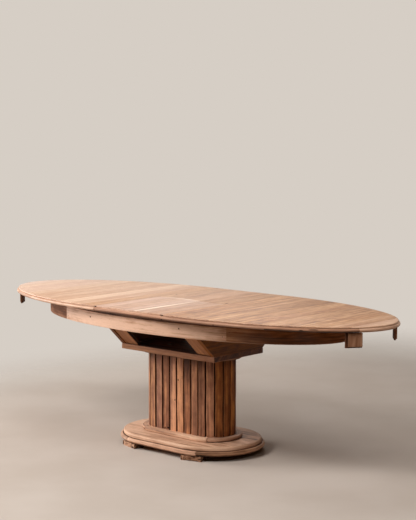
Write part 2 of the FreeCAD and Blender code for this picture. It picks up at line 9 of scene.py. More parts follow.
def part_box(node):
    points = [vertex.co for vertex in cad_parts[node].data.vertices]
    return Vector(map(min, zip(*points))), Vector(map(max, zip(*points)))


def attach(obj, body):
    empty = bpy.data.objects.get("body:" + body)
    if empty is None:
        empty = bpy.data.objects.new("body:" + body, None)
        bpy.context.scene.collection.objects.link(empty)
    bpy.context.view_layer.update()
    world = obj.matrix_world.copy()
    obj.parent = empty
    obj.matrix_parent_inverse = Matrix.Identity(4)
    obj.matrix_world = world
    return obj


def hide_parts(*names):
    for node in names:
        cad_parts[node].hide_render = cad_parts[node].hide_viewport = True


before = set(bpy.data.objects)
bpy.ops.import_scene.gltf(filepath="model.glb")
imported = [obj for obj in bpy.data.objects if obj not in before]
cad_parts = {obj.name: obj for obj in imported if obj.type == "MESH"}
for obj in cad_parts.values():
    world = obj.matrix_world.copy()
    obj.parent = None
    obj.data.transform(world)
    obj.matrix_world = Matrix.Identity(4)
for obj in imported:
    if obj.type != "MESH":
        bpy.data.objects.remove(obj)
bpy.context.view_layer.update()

# Feet: four blocks of teak offcut nailed under the plinth near its ends, sawn by hand.
# Their arrises are knocked off and their ends are worn and slightly out of square.


class Wire:
    """One socket of a node tree: sums and products of wires add Math nodes."""

    def __init__(self, tree, socket=None):
        self.tree = tree
        self.socket = socket

    def add(self, kind, settings=None, inputs=None, output=0):
        """Adds a node: its settings first, then the values or links of its sockets."""
        node = self.tree.nodes.new(kind)
        for name, value in (settings or {}).items():
            setattr(node, name, value)
        for name, value in (inputs or {}).items():
            if isinstance(value, Wire):
                value.feeds(node, name)
            else:
                node.inputs[name].default_value = value
        return Wire(self.tree, node.outputs[output])

    def feeds(self, node, name):
        """Links this wire to a socket of a node."""
        self.tree.links.new(self.socket, node.inputs[name])

    def other(self, output):
        """Another output of the node that this wire comes from."""
        return Wire(self.tree, self.socket.node.outputs[output])

    def maths(self, operation, *values):
        """A Math node on this wire and the values after it."""
        return self.add("ShaderNodeMath", {"operation": operation}, dict(enumerate((self, *values))))

    def __add__(self, value):
        return self.maths("ADD", value)

    def __sub__(self, value):
        return self.maths("SUBTRACT", value)

    def __rsub__(self, value):
        return self.maths("MULTIPLY_ADD", -1.0, value)

    def __mul__(self, value):
        return self.maths("MULTIPLY", value)

    __radd__ = __add__
    __rmul__ = __mul__

    def swing(self, span):
        """Noise, which stays about a half, as a swing of a span about zero."""
        return (self - 0.5) * span

    def rise(self, low, high):
        """0 below low, 1 above high, and smooth between them."""
        limits = {"Value": self, "From Min": low, "From Max": high}
        return self.add("ShaderNodeMapRange", {"interpolation_type": "SMOOTHSTEP"}, limits)

    def mix(self, first, second):
        """A colour between two, with this wire as the share of the second."""
        return self.add("ShaderNodeMix", {"data_type": "RGBA"}, {0: self, 6: first, 7: second}, 2)

    def ramp(self, *stops):
        """A colour along stops of place and colour."""
        wire = self.add("ShaderNodeValToRGB", None, {"Fac": self})
        elements = wire.socket.node.color_ramp.elements
        while len(elements) < len(stops):
            elements.new(1.0)
        for element, (place, colour) in zip(elements, stops):
            element.position = place
            element.color = colour
        return wire

    def vector(self, x=0.0, y=0.0, z=0.0):
        """A vector of three numbers or wires."""
        return self.add("ShaderNodeCombineXYZ", None, {0: x, 1: y, 2: z})

    def vectors(self, operation, *values, output=0):
        """A Vector Math node on this wire and the values after it."""
        inputs = dict(enumerate((self, *values)))
        return self.add("ShaderNodeVectorMath", {"operation": operation}, inputs, output)

    def cloud(self, scale, detail):
        """Soft noise over this wire's places."""
        return self.add("ShaderNodeTexNoise", None, {"Vector": self, "Scale": scale, "Detail": detail})


def paint(red, green, blue):
    """A colour as it looks on a screen, 0 to 255, for a shader."""
    looks = (value / 255 for value in (red, green, blue))
    return (*(((v + 0.055) / 1.055) ** 2.4 if v > 0.04045 else v / 12.92 for v in looks), 1.0)


def dimmed(colour, share):
    """A darker form of a colour."""
    return (*(share * value for value in colour[:3]), 1.0)


def new_material(name):
    """A new material: returns it, its shader and a wire to start from."""
    material = bpy.data.materials.new(name)
    material.use_nodes = True
    return material, material.node_tree.nodes["Principled BSDF"], Wire(material.node_tree)


def teak(name, dark, middle, pale, gloss=0.55, streak=0.5, grey=0.25, shine=0.25, deep_shade_share=0.22):
    """Old teak: each board has its own tone, figure, fibres, pores and grey patina.

    Wear above zero is rubbed pale. Below zero it darkens the wood towards the darkest stop: painted shade in
    recesses, gaps, grooves and undersides, and dirt in the feet's cracks.
    """
    material, shader, root = new_material(name)
    dark, middle, pale = (paint(*colour) for colour in (dark, middle, pale))
    along = root.add("ShaderNodeSeparateXYZ", None, {0: root.add("ShaderNodeUVMap", {"uv_map": "UVMap"})})
    across = along.other(1)
    board, tone, wear_and_shade, warm = (
        root.add("ShaderNodeAttribute", {"attribute_name": layer}, output="Fac")
        for layer in ("board", "tone", "wear_and_shade", "warm")
    )
    board = board * 41.0

    def grain(length, width, shift, detail):
        """Noise at so many marks a metre along and across the board."""
        return root.vector(along * length, across * width, board + shift).cloud(1.0, detail)

    rings = (grain(1.1, 17.0, 5.0, 1.5) * 17.0).maths("PINGPONG", 0.5) * 2.0
    fibre = grain(9.0, 520.0, 0.0, 2.0)
    pore = grain(38.0, 1500.0, 3.0, 1.0).rise(0.6, 0.72)
    stain = grain(3.0, 9.0, 17.0, 3.0).rise(0.52, 0.75)
    drift = grain(1.4, 7.0, 0.0, 2.0).swing(1.1 * streak)
    band = grain(2.2, 60.0, 9.0, 2.0).swing(0.7 * streak)
    line = grain(1.6, 120.0, 13.0, 4.0).swing(1.7 * streak)
    blot = grain(14.0, 40.0, 29.0, 3.0).swing(streak)
    shade = tone + drift + rings.swing(0.16) + band + fibre.swing(0.35) + line + blot
    # Negative wear is painted shade, apart from the feet's crack dirt. The darkest stop below the dark colour holds
    # it, and the painted-shade tones too.
    shade = shade + wear_and_shade.maths("MINIMUM", 0.0) * 0.9
    stops = ((0.0, dimmed(dark, deep_shade_share)), (0.22, dark), (0.61, middle), (1.0, pale))
    colour = (shade * 0.78 + 0.22).ramp(*stops)
    hue = 0.5 + warm * 0.01 + root.vector(board * 3.1, 7.0).cloud(1.0, 0.0).swing(0.012)
    depth = 1.0 + warm * 0.4 + root.vector(board * 2.3, 1.0, 4.0).cloud(1.0, 0.0).swing(0.2)
    colour = root.add("ShaderNodeHueSaturation", None, {"Hue": hue, "Saturation": depth, "Color": colour})
    silver = (0.62 * middle[1], 0.6 * middle[1], 0.58 * middle[1], 1.0)
    colour = (stain * grey).mix(colour, silver)
    colour = (pore * 0.35).mix(colour, dark)
    colour = (wear_and_shade * 0.35).mix(colour, pale)
    bump = fibre * 0.7 + rings * 0.5 - pore * 0.8
    normal = root.add("ShaderNodeBump", None, {"Strength": 0.4, "Distance": 0.0005, "Height": bump})
    colour.feeds(shader, "Base Color")
    (gloss + fibre.swing(0.2) + stain * 0.08 - wear_and_shade * 0.06).feeds(shader, "Roughness")
    normal.feeds(shader, "Normal")
    shader.inputs["Specular IOR Level"].default_value = shine
    return material


def workpiece():
    """An empty mesh with the layers that the wood reads."""
    bm = bmesh.new()
    bm.loops.layers.uv.new("UVMap")
    for layer in ("wear_and_shade", "tone"):
        bm.loops.layers.float.new(layer)
    for layer in ("board", "warm"):
        bm.faces.layers.float.new(layer)
    return bm


def shaded(bm, faces, layer, rule):
    """Sets a layer at every corner of some faces, by a rule for the corner."""
    values = bm.loops.layers.float[layer]
    for face in faces:
        for loop in face.loops:
            loop[values] = rule(loop)


def marked(bm, faces, tone, board, warm=0.0):
    """Gives the faces of one board its tone, its number and how much warmer it is than the rest."""
    shaded(bm, faces, "tone", lambda loop: tone)
    for face in faces:
        face[bm.faces.layers.float["board"]] = board
        face[bm.faces.layers.float["warm"]] = warm


def grained(bm, faces, grain):
    """Runs the grain of a board along a direction; its ends show as end grain."""
    uv = bm.loops.layers.uv["UVMap"]
    for face in faces:
        along = grain
        across = face.normal.cross(grain)
        if across.length < 0.5:
            along = grain.orthogonal().normalized() * 0.2
            across = grain.cross(grain.orthogonal())
        across.normalize()
        for loop in face.loops:
            loop[uv].uv = (loop.vert.co.dot(along), loop.vert.co.dot(across))


def smoothed(bm, name):
    """The plain mesh of a worked one, with its faces outwards."""
    bmesh.ops.recalc_face_normals(bm, faces=bm.faces)
    mesh = bpy.data.meshes.new(name)
    bm.to_mesh(mesh)
    bm.free()
    mesh.shade_smooth()
    return mesh


def shown(name, data):
    """A new object in the scene."""
    item = bpy.data.objects.new(name, data)
    bpy.context.scene.collection.objects.link(item)
    return item


def placed(name, mesh, body, slot, *nodes, crease=26):
    """Makes a piece of a mesh, riding on a body in place of CAD nodes."""
    mesh.name = name
    mesh.set_sharp_from_angle(angle=math.radians(crease))
    piece = shown(name, mesh)
    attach(piece, body)
    if nodes:
        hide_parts(*nodes)


def finished(name, bm, material, body, slot, *nodes, grain=None):
    """Makes a wooden piece of a worked mesh, with its grain along a direction if it has none yet."""
    if grain is not None:
        bm.normal_update()
        grained(bm, bm.faces, grain)
    mesh = smoothed(bm, name)
    mesh.materials.append(material)
    placed(name, mesh, body, slot, *nodes, crease=32)


def eased(node, arris, cuts=0, worn=0.0):
    """A copy of a sawn CAD solid with its arrises eased and its faces a little worn."""
    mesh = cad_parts[node].data
    bm = workpiece()
    corners = {}
    for polygon in mesh.polygons:
        verts = []
        for index in polygon.vertices:
            place = mesh.vertices[index].co
            key = tuple(round(value, 5) for value in place)
            if key not in corners:
                corners[key] = bm.verts.new(place)
            verts.append(corners[key])
        if len(set(verts)) == len(verts):
            bm.faces.new(verts)
    bmesh.ops.dissolve_limit(bm, angle_limit=math.radians(2), verts=bm.verts, edges=bm.edges)
    if cuts:
        bmesh.ops.subdivide_edges(bm, edges=bm.edges, cuts=cuts, use_grid_fill=True)
    sharp = [edge for edge in bm.edges if edge.calc_face_angle(0) > math.radians(25)]
    bevel = {"offset": arris, "segments": 2, "profile": 0.6, "affect": "EDGES", "clamp_overlap": True}
    rounds = bmesh.ops.bevel(bm, geom=sharp, **bevel)["faces"]
    shaded(bm, rounds, "wear_and_shade", lambda loop: 1.0)
    bm.normal_update()
    if worn:
        for vert in bm.verts:
            vert.co -= vert.normal * worn * (0.5 + 0.5 * noise.noise(vert.co * 19.0))
        bm.normal_update()
    return bm


PLINTH_STRAIGHT = 0.154
FOOT_SPREAD = 0.15
FOOT_WEAR = 0.005
FOOT_END_SHADE = -0.25
draw = random.Random(4)
plinth_teak = teak("plinth_teak", (116, 80, 58), (188, 145, 117), (222, 182, 152), streak=1.1, grey=0.12, shine=0.15)
foot_tones = {"front_left": 0.34, "front_right": 0.2, "back_left": 0.3, "back_right": 0.4}
for corner, tone in foot_tones.items():
    node = f"foot_{corner}"
    low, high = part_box(node)
    middle = (low + high) / 2
    outward = Vector((middle.x - math.copysign(PLINTH_STRAIGHT, middle.x), middle.y, 0)).normalized()
    grain = outward.cross(Vector((0, 0, 1)))
    block = eased(node, 0.004, cuts=10, worn=FOOT_WEAR)
    for vert in block.verts:
        vert.co += grain * (vert.co - middle).dot(grain) * FOOT_SPREAD
        ragged = noise.noise(vert.co * 41.0) + 0.6 * noise.noise(vert.co * 97.0)
        bite = max(0.0, FOOT_WEAR * ragged)
        if vert.normal.z < -0.7:
            vert.co.z = low.z
        elif vert.normal.z < 0.7:
            vert.co -= Vector((vert.normal.x, vert.normal.y, 0)) * bite
            vert.co.z += bite * (high.z - vert.co.z) / (high.z - low.z)

    def split(loop):
        """Dirt in the cracks that run along the grain."""
        place = loop.vert.co
        crack = noise.noise((place.dot(grain) * 22, place.dot(outward) * 50, place.z * 190))
        return -0.9 * max(0.0, min(1.0, 4 * crack - 0.7))

    grained(block, block.faces, grain)
    number = draw.random()
    marked(block, block.faces, tone, number)
    shaded(block, block.faces, "wear_and_shade", split)
    # The end faces of each foot are painted dark: painted shade under the plinth moulding.
    ends = [face for face in block.faces if abs(face.normal.dot(grain)) > 0.6]
    marked(block, ends, FOOT_END_SHADE, number)
    finished(f"{node}_block", block, plinth_teak, "base", "plinth_wood", node)

# Plinth: a bullnosed teak moulding in four curved lengths, joined near the ends of its straight sides
# and standing on the feet.
PLINTH_RADIUS = 0.271
PLINTH_JOINTS = (0.230, 0.255)
PLINTH_DEPTH = -0.09
NOSE = 0.0105
GROOVE = 0.0035


def stadium_station(straight, radius, run):
    """The place and outward normal at a run along a straight-sided oval, from its front middle to the right."""
    bend = math.pi * radius
    half = 2 * straight + bend
    laps, run = divmod(run, half)
    if run <= straight:
        station = run, -radius, 0.0, -1.0
    elif run <= straight + bend:
        turn = (run - straight) / radius
        x, y = math.sin(turn), -math.cos(turn)
        station = straight + radius * x, radius * y, x, y
    else:
        station = half - run, radius, 0.0, 1.0
    return tuple(-value for value in station) if laps % 2 else station


def between(values, share):
    """A value at a share of the way along a row of them."""
    place = share * (len(values) - 1)
    index = max(0, min(int(place), len(values) - 2))
    after = values[min(index + 1, len(values) - 1)]
    return values[index] + (after - values[index]) * (place - index)


def swept(bm, stations, profile, tones, board, warm=0.0, joint=0.0009):
    """A curved length with a closed profile of (out, height, wear and painted shade) and tones along it.

    Its face wavers by a millimetre, and its ends draw in at the joints.
    """
    middle_out = sum(point[0] for point in profile) / len(profile)
    middle_z = sum(point[1] for point in profile) / len(profile)
    rings = []
    for index, (x, y, normal_x, normal_y, run) in enumerate(stations):
        pull = joint if index in (0, len(stations) - 1) else 0.0
        ring = []
        for out, height, wear_and_shade in profile:
            out -= math.copysign(pull, out - middle_out)
            height -= math.copysign(pull, height - middle_z)
            out -= 0.001 * (0.5 + 0.5 * noise.noise((x * 13, y * 13, height * 40)))
            ring.append(bm.verts.new((x + normal_x * out, y + normal_y * out, height)))
        rings.append(ring)
    around = [0.0]
    for first, second in zip(profile, profile[1:] + profile[:1]):
        around.append(around[-1] + math.dist(first[:2], second[:2]))
    uv = bm.loops.layers.uv["UVMap"]
    # This layer carries the profile's wear and its painted shade.
    worn = bm.loops.layers.float["wear_and_shade"]
    faces = []
    for index in range(len(rings) - 1):
        for side in range(len(profile)):
            after = (side + 1) % len(profile)
            corners = ((index, side), (index + 1, side), (index + 1, after), (index, after))
            face = bm.faces.new([rings[i][j] for i, j in corners])
            rounds = (around[side], around[side], around[side + 1], around[side + 1])
            for loop, (i, j), v in zip(face.loops, corners, rounds):
                loop[uv].uv = (stations[i][4], v)
                loop[worn] = profile[j][2]
            faces.append(face)
    caps = [bm.faces.new(ring) for ring in (rings[0], rings[-1])]
    for face in caps:
        for loop, (out, height, wear_and_shade) in zip(face.loops, profile):
            loop[uv].uv = (height * 0.2, out)
    marked(bm, faces + caps, tones[0], board, warm)
    first, last = stations[0][4], stations[-1][4]
    shaded(bm, faces, "tone", lambda loop: between(tones, (loop[uv].uv.x - first) / (last - first)))


def four_lengths(bm, straight, radius, joints, profile, tones, warmth=(0.0, 0.0, 0.0, 0.0)):
    """Front, right, back and left lengths of a straight-sided oval, jointed left and right of its middle."""
    half = 2 * straight + math.pi * radius
    left, right = (straight + radius * math.asin((joint - straight) / radius) for joint in joints)
    ends = (-left, right, half - right, half + left, 2 * half - left)
    for start, end, shades, warm in zip(ends, ends[1:], tones, warmth):
        count = max(2, round((end - start) / 0.02))
        runs = [start + (end - start) * index / count for index in range(count + 1)]
        runs[1:1] = [start + 0.003]
        runs[-1:-1] = [end - 0.003]
        stations = [(*stadium_station(straight, radius, run), run) for run in runs]
        swept(bm, stations, profile, shades, draw.random(), warm, joint=0.004)


low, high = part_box("plinth_front")
half_height = (high.z - low.z) / 2
# The profile's third values darken the bullnose's lower half and make its top corner and the groove under the board
# darkest: painted shade. Its upper half is rubbed a little paler.
plinth_profile = [(PLINTH_DEPTH, low.z, 0.0)]
for turn in (math.radians(-90 + 15 * step) for step in range(13)):
    height = low.z + half_height * (1 + math.sin(turn))
    plinth_profile.append((NOSE * (math.cos(turn) - 1), height, 0.5 * min(0.4, math.sin(turn))))
plinth_profile += [
    (-0.0125, high.z, -0.7),
    (-0.0145, high.z - GROOVE, -0.9),
    (PLINTH_DEPTH, high.z - GROOVE, -0.9),
]
plinth = workpiece()
plinth_tones = ((0.68, 0.7, 0.74, 0.78, 0.74), (0.16, 0.3, 0.44), (0.5,), (0.3, 0.4))
plinth_warmth = (0.0, 0.15, 0.0, 0.0)
four_lengths(plinth, PLINTH_STRAIGHT, PLINTH_RADIUS, PLINTH_JOINTS, plinth_profile, plinth_tones, plinth_warmth)
plinth_nodes = [f"plinth_{side}" for side in ("front", "back", "left", "right")]
finished("plinth_moulding", plinth, plinth_teak, "base", "plinth_wood", *plinth_nodes)

# Plinth board: one board glued up of teak, laid on the moulding one step in from its nose.
# Its upper edge is rounded over. Its sides are painted darker towards the bottom as painted shade in the groove over
# the moulding, and its tone is painted darker towards the right as painted shade.
BOARD_RADIUS = 0.254
BOARD_ROUND = 0.010
BOARD_STEPS = 120


def slab(bm, rings, tone, warm=0.0):
    """A board of closed rings from its bottom to its top, with its own number; returns its sides."""
    rows = [[bm.verts.new(place) for place in ring] for ring in rings]
    sides = []
    for lower, upper in zip(rows, rows[1:]):
        for index in range(len(lower)):
            after = (index + 1) % len(lower)
            sides.append(bm.faces.new((lower[index], lower[after], upper[after], upper[index])))
    caps = [bm.faces.new(rows[0][::-1]), bm.faces.new(rows[-1])]
    marked(bm, sides + caps, tone, draw.random(), warm)
    return sides


low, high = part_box("plinth_board")
lap = 4 * PLINTH_STRAIGHT + 2 * math.pi * BOARD_RADIUS
runs = [lap * step / BOARD_STEPS for step in range(BOARD_STEPS)]
stations = [stadium_station(PLINTH_STRAIGHT, BOARD_RADIUS, run) for run in runs]
board_edge = [(0.0012, low.z), (0.0, low.z + 0.0012), (0.0, high.z - BOARD_ROUND)]
for turn in (math.radians(18 * step) for step in range(1, 6)):
    board_edge.append((BOARD_ROUND * (1 - math.cos(turn)), high.z - BOARD_ROUND * (1 - math.sin(turn))))
board = workpiece()
rings = [[(x - nx * back, y - ny * back, z) for x, y, nx, ny in stations] for back, z in board_edge]
sides = slab(board, rings, 0.0)
board.normal_update()
grained(board, board.faces, Vector((1, 0, 0)))
uv = board.loops.layers.uv["UVMap"]
for face in sides:
    turns = [math.atan2(loop.vert.co.y, loop.vert.co.x) for loop in face.loops]
    wrapped = max(turns) - min(turns) > math.pi
    for loop, turn in zip(face.loops, turns):
        loop[uv].uv = ((turn + 2 * math.pi if wrapped and turn < 0 else turn) * 0.33, loop.vert.co.z)
# Painted shade: the sides darken towards the groove at their foot, and the rounded edge is a little paler.
shaded(board, sides, "wear_and_shade", lambda loop: max(-0.9, min(0.3, (loop.vert.co.z - low.z - 0.008) / 0.009)))
# Painted shade: the tone falls towards the right end.
shaded(board, board.faces, "tone", lambda loop: 0.66 - 0.5 * loop.vert.co.x)
finished("plinth_board_top", board, plinth_teak, "base", "plinth_wood", "plinth_board")

# Collar: a low flat band of teak in four lengths, glued to the plinth board with its edges eased.
# The foot of the column stands on it.
COLLAR_STRAIGHT = 0.151
COLLAR_RADIUS = 0.154
COLLAR_JOINTS = (0.214, 0.226)
COLLAR_DEPTH = -0.06


def collar_band(node, ease, tones):
    """A flat band round the column whose outer edge is eased at its top and bottom."""
    low, high = (corner.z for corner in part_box(node))
    lower = []
    # The lower eased edge is painted dark as painted shade where the band meets the board. The upper eased edge is a
    # little paler.
    for turn in (math.radians(22.5 * step) for step in range(5)):
        out, height = ease * (math.sin(turn) - 1), low + ease * (1 - math.cos(turn))
        lower.append((out, height, -0.6 * math.cos(turn)))
    upper = [(out, high + low - height, 0.3 + 0.5 * shading) for out, height, shading in reversed(lower)]
    profile = [(COLLAR_DEPTH, low, 0.0), *lower, *upper, (COLLAR_DEPTH, high, 0.0)]
    band = workpiece()
    four_lengths(band, COLLAR_STRAIGHT, COLLAR_RADIUS, COLLAR_JOINTS, profile, tones)
    finished(f"{node}_band", band, plinth_teak, "base", "plinth_wood", node)


collar_band("collar", 0.006, ((0.46, 0.5, 0.55, 0.8, 1.0, 0.98), (0.32,), (0.5,), (0.45,)))

# Column core: posts between three formers, wrapped in a thin bent liner that closes the gaps of the slats.
# It is plain sawn wood, dark where light hardly reaches it. The liner is painted near black as painted shade behind
# the gaps of the slats.
LENGTHWAYS, CROSSWAYS, UPRIGHT = Vector((1, 0, 0)), Vector((0, 1, 0)), Vector((0, 0, 1))
inner_teak = teak("inner_teak", (74, 50, 36), (116, 82, 60), (150, 112, 84), gloss=0.75)
# The liner's near-black colour is painted shade in the gaps between the slats.
liner_painted_shade = teak("liner_painted_shade", (24, 15, 10), (36, 22, 15), (50, 32, 22), gloss=0.85)


def sawn(name, node, wood, body, slot, grain, tone, arris, warm=0.0, **wear_and_shade):
    """One plain board, sawn or planed: a CAD solid with eased arrises in one wood."""
    piece = eased(node, arris, **wear_and_shade)
    marked(piece, piece.faces, tone, draw.random(), warm)
    finished(name, piece, wood, body, slot, node, grain=grain)


for node in ("former_bottom", "former_middle", "former_top"):
    sawn(f"{node}_sawn", node, inner_teak, "base", "inner_wood", LENGTHWAYS, 0.2, 0.001)
for node in ("post_left", "post_right"):
    sawn(f"{node}_sawn", node, inner_teak, "base", "inner_wood", UPRIGHT, 0.3, 0.001)
sawn("column_liner_bent", "column_liner", liner_painted_shade, "base", "inner_wood", UPRIGHT, 0.3, 0.0005)

# Slats: twenty-eight upright strips of reclaimed teak nailed round the core, six on each flat side and eight
# round each end. Each strip is another tone, and its edges waver a little.
SLAT_WIDTH = 0.0415
SLAT_THICKNESS = 0.020
SLAT_ARRIS = 0.003
SLAT_WAVER = 0.0045
COLUMN_RADIUS = 0.119
slat_colours = ((93, 59, 44), (153, 103, 77), (217, 154, 110))
slat_teak = teak("slat_teak", *slat_colours, gloss=0.62, streak=1.0, grey=0.02, shine=0.1, deep_shade_share=0.55)


def node_tree(name, inputs):
    """A geometry tree with named inputs: returns it, its input wires and a wire to start from."""
    tree = bpy.data.node_groups.new(name, "GeometryNodeTree")
    tree.interface.new_socket("Geometry", in_out="OUTPUT", socket_type="NodeSocketGeometry")
    for label, kind in {"Geometry": "Geometry", **inputs}.items():
        tree.interface.new_socket(label, in_out="INPUT", socket_type=f"NodeSocket{kind}")
    start = tree.nodes.new("NodeGroupInput")
    return tree, {socket.name: Wire(tree, socket) for socket in start.outputs if socket.name}, Wire(tree)


def noted(root, name, kind="FLOAT"):
    """A named attribute of the places that a tree is given."""
    return root.add("GeometryNodeInputNamedAttribute", {"data_type": kind}, {"Name": name})


def repeated(points, piece, turn, scale):
    """A piece set at every point."""
    inputs = {"Points": points, "Instance": piece, "Rotation": turn, "Scale": scale}
    return piece.add("GeometryNodeInstanceOnPoints", None, inputs)


def ended(geometry, material):
    """Realizes instances, sets the material and gives the tree's result."""
    real = geometry.add("GeometryNodeRealizeInstances", None, {"Geometry": geometry})
    clad = geometry.add("GeometryNodeSetMaterial", None, {"Geometry": real, "Material": material})
    clad.feeds(geometry.tree.nodes.new("NodeGroupOutput"), 0)


def grown(mesh, tree, values):
    """The plain mesh that a geometry tree makes of a mesh, with values for its named inputs."""
    seed = shown(mesh.name, mesh)
    modifier = seed.modifiers.new("grow", "NODES")
    modifier.node_group = tree
    for item in tree.interface.items_tree:
        if item.in_out == "INPUT" and item.name in values:
            modifier[item.identifier] = values[item.name]
    ready = seed.evaluated_get(bpy.context.evaluated_depsgraph_get())
    result = bpy.data.meshes.new_from_object(ready)
    seed.modifiers.remove(modifier)
    bpy.data.objects.remove(seed)
    return result


sizes = dict.fromkeys(("Width", "Thickness", "Height", "Arris", "Waver", "Seed"), "Float")
slat_tree, given, root = node_tree("Slatted column", {**sizes, "Wood": "Material"})
width, thick, tall, arris = (given[label] for label in ("Width", "Thickness", "Height", "Arris"))
slat = root.add("GeometryNodeMeshCube", None, {0: (1, 1, 1), 1: 4, 2: 4, 3: 18})
side_x = root.add("ShaderNodeSeparateXYZ", None, {0: root.add("GeometryNodeInputPosition")})
side_y, level = side_x.other(1), side_x.other(2)
edge_x, edge_y = (side.maths("ABSOLUTE").maths("GREATER_THAN", 0.4) for side in (side_x, side_y))
corner = edge_x * edge_y
nip = corner * arris * 0.35
shaped_x = side_x.maths("SIGN") * (width * 0.5 - (1 - edge_x) * arris - nip)
shaped_y = side_y.maths("SIGN") * (thick * 0.5 - (1 - edge_y) * arris - nip)
taper = 0.91 + 0.09 * (0.5 - side_y)
# Painted shade: the slats darken towards their tops in the tray's shadow, and on their flanks inside the gaps. Their
# corners are rubbed pale.
flank = edge_x * (1 - edge_y)
slat_wear_and_shade = corner - 0.42 * level.rise(0.33, 0.49) - flank * 0.9
chart = root.vector(level * tall, side_x * width + side_y * thick)
for label, kind, domain, value in (("wear_and_shade", "FLOAT", "POINT", slat_wear_and_shade), ("UVMap", "FLOAT2", "CORNER", chart)):
    inputs = {"Geometry": slat, "Name": label, "Value": value}
    slat = root.add("GeometryNodeStoreNamedAttribute", {"data_type": kind, "domain": domain}, inputs)
shape = root.vector(shaped_x * taper, shaped_y, level * tall)
slat = root.add("GeometryNodeSetPosition", None, {"Geometry": slat, "Position": shape})
facing = root.vector(z=noted(root, "turn"))
slats = repeated(given["Geometry"], slat, facing, root.vector(noted(root, "broad"), 1.0, 1.0))
slats = root.add("GeometryNodeRealizeInstances", None, {"Geometry": slats})
sway = {"Vector": root.add("GeometryNodeInputPosition"), "Scale": 9.0, "Detail": 1.0}
sway["W"] = noted(root, "board") * 37.0 + given["Seed"]
sway = root.add("ShaderNodeTexNoise", {"noise_dimensions": "4D"}, sway, 1)
sway = sway.vectors("SUBTRACT", (0.5, 0.5, 0.5)).vectors("MULTIPLY", root.vector(given["Waver"], given["Waver"]))
slats = root.add("GeometryNodeSetPosition", None, {"Geometry": slats, "Offset": sway})
ended(slats, given["Wood"])

low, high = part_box("slats_front")
slat_tones = {
    "front": (0.58, 0.42, 0.85, 1.02, 0.22, 0.55),
    "right": (0.43, 0.83, 0.43, 0.41, 0.84, 0.32, 0.46, 0.62),
    "back": (0.4, 0.66, 0.3, 0.5, 0.75, 0.36),
    "left": (0.5, 0.34, 0.6, 0.42, 0.3, 0.55, 0.45, 0.66),
}
slat_warmth = {"front": (-0.2, 0.03, -0.02, -0.06, 0.22, 0.1), "right": (0.0, -0.1, 0.4, 0.44, 0.3, 0.0, 0.0, 0.0)}
slat_middle = COLUMN_RADIUS - SLAT_THICKNESS / 2
flat, bend = 2 * COLLAR_STRAIGHT, math.pi * slat_middle
slat_rows = {
    "front": (-flat / 2, flat, 1.0, 0.09),
    "right": (flat / 2, bend, 0.95, 0.08),
    "back": (flat / 2 + bend, flat, 1.0, 0.09),
    "left": (flat * 1.5 + bend, bend, 0.95, 0.08),
}
for side, (start, length, usual, spread) in slat_rows.items():
    tones = slat_tones[side]
    runs = [start + length * (index + 0.5) / len(tones) for index in range(len(tones))]
    stations = [stadium_station(COLLAR_STRAIGHT, slat_middle, run) for run in runs]
    columns = {
        "turn": [math.atan2(nx, -ny) for x, y, nx, ny in stations],
        "broad": [usual + spread * (draw.random() - 0.5) for tone in tones],
        "tone": tones,
        "warm": slat_warmth.get(side, [0.0] * len(tones)),
        "board": [draw.random() for tone in tones],
    }
    points = bpy.data.meshes.new(f"slat_places_{side}")
    points.from_pydata([(x, y, (low.z + high.z) / 2) for x, y, nx, ny in stations], [], [])
    for label, values in columns.items():
        points.attributes.new(label, "FLOAT", "POINT").data.foreach_set("value", values)
    values = {"Width": SLAT_WIDTH, "Thickness": SLAT_THICKNESS, "Height": high.z - low.z, "Arris": SLAT_ARRIS}
    mesh = grown(points, slat_tree, {**values, "Waver": SLAT_WAVER, "Seed": 3.0, "Wood": slat_teak})
    placed(f"slat_row_{side}", mesh, "base", "slat_wood", f"slats_{side}")

# Top collar: a thin teak band like the lower one, glued round the heads of the slats under the tray.
# It is mostly in the tray's shadow.
collar_band("top_collar", 0.004, ((0.4,), (0.3,), (0.4,), (0.35,)))

# Tray: a thick slab of four teak boards glued edge to edge and bolted down through the top of the column.
# It is the floor of the leaf store. Its top and ends are painted dark as painted shade inside the store, and its
# front face is paler, painted darker towards the right as painted shade.
TRAY_BOARDS = 4
TRAY_SEAM = 0.0004
tray_teak = teak("tray_teak", (84, 45, 25), (142, 91, 62), (184, 130, 94))
tray = workpiece()
low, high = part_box("tray")
pitch = (high.y - low.y) / TRAY_BOARDS
tray_edge = [(0.0015, low.z), (0.0, low.z + 0.002), (0.0, high.z - 0.002), (0.0007, high.z - 0.0006), (0.002, high.z)]
for index in range(TRAY_BOARDS):
    near, far = low.y + index * pitch, low.y + (index + 1) * pitch
    rings = []
    for back, z in tray_edge:
        seam = min(back, 0.0007) + TRAY_SEAM * (back > 0)
        left, right, near_edge, far_edge = low.x + back, high.x - back, near + seam, far - seam
        outline = ((left, near_edge), (right, near_edge), (right, far_edge), (left, far_edge))
        rings.append([(x, y, z) for x, y in outline])
    slab(tray, rings, 0.42 + 0.3 * (index == 0) + 0.1 * (draw.random() - 0.5))
tray.normal_update()
# Painted shade: the front face darkens towards the right, and the ends and the top are painted dark inside the store.
for face in tray.faces:
    if face.normal.y < -0.9:
        shaded(tray, [face], "tone", lambda loop: 0.74 - 0.35 * loop.vert.co.x)
    elif abs(face.normal.x) > 0.9:
        shaded(tray, [face], "tone", lambda loop: 0.04)
    elif abs(face.normal.z) > 0.9:
        shaded(tray, [face], "tone", lambda loop: -0.1)
finished("tray_boards", tray, tray_teak, "base", "tray_wood", "tray", grain=LENGTHWAYS)

# Tray bolts: four zinc coach bolts with low domed heads, one near each corner of the column's top former.
# They are driven through the tray and hold it down.
BOLT_RADIUS = 0.0125
BOLT_HEAD = 0.004
BOLT_INSET = 0.026


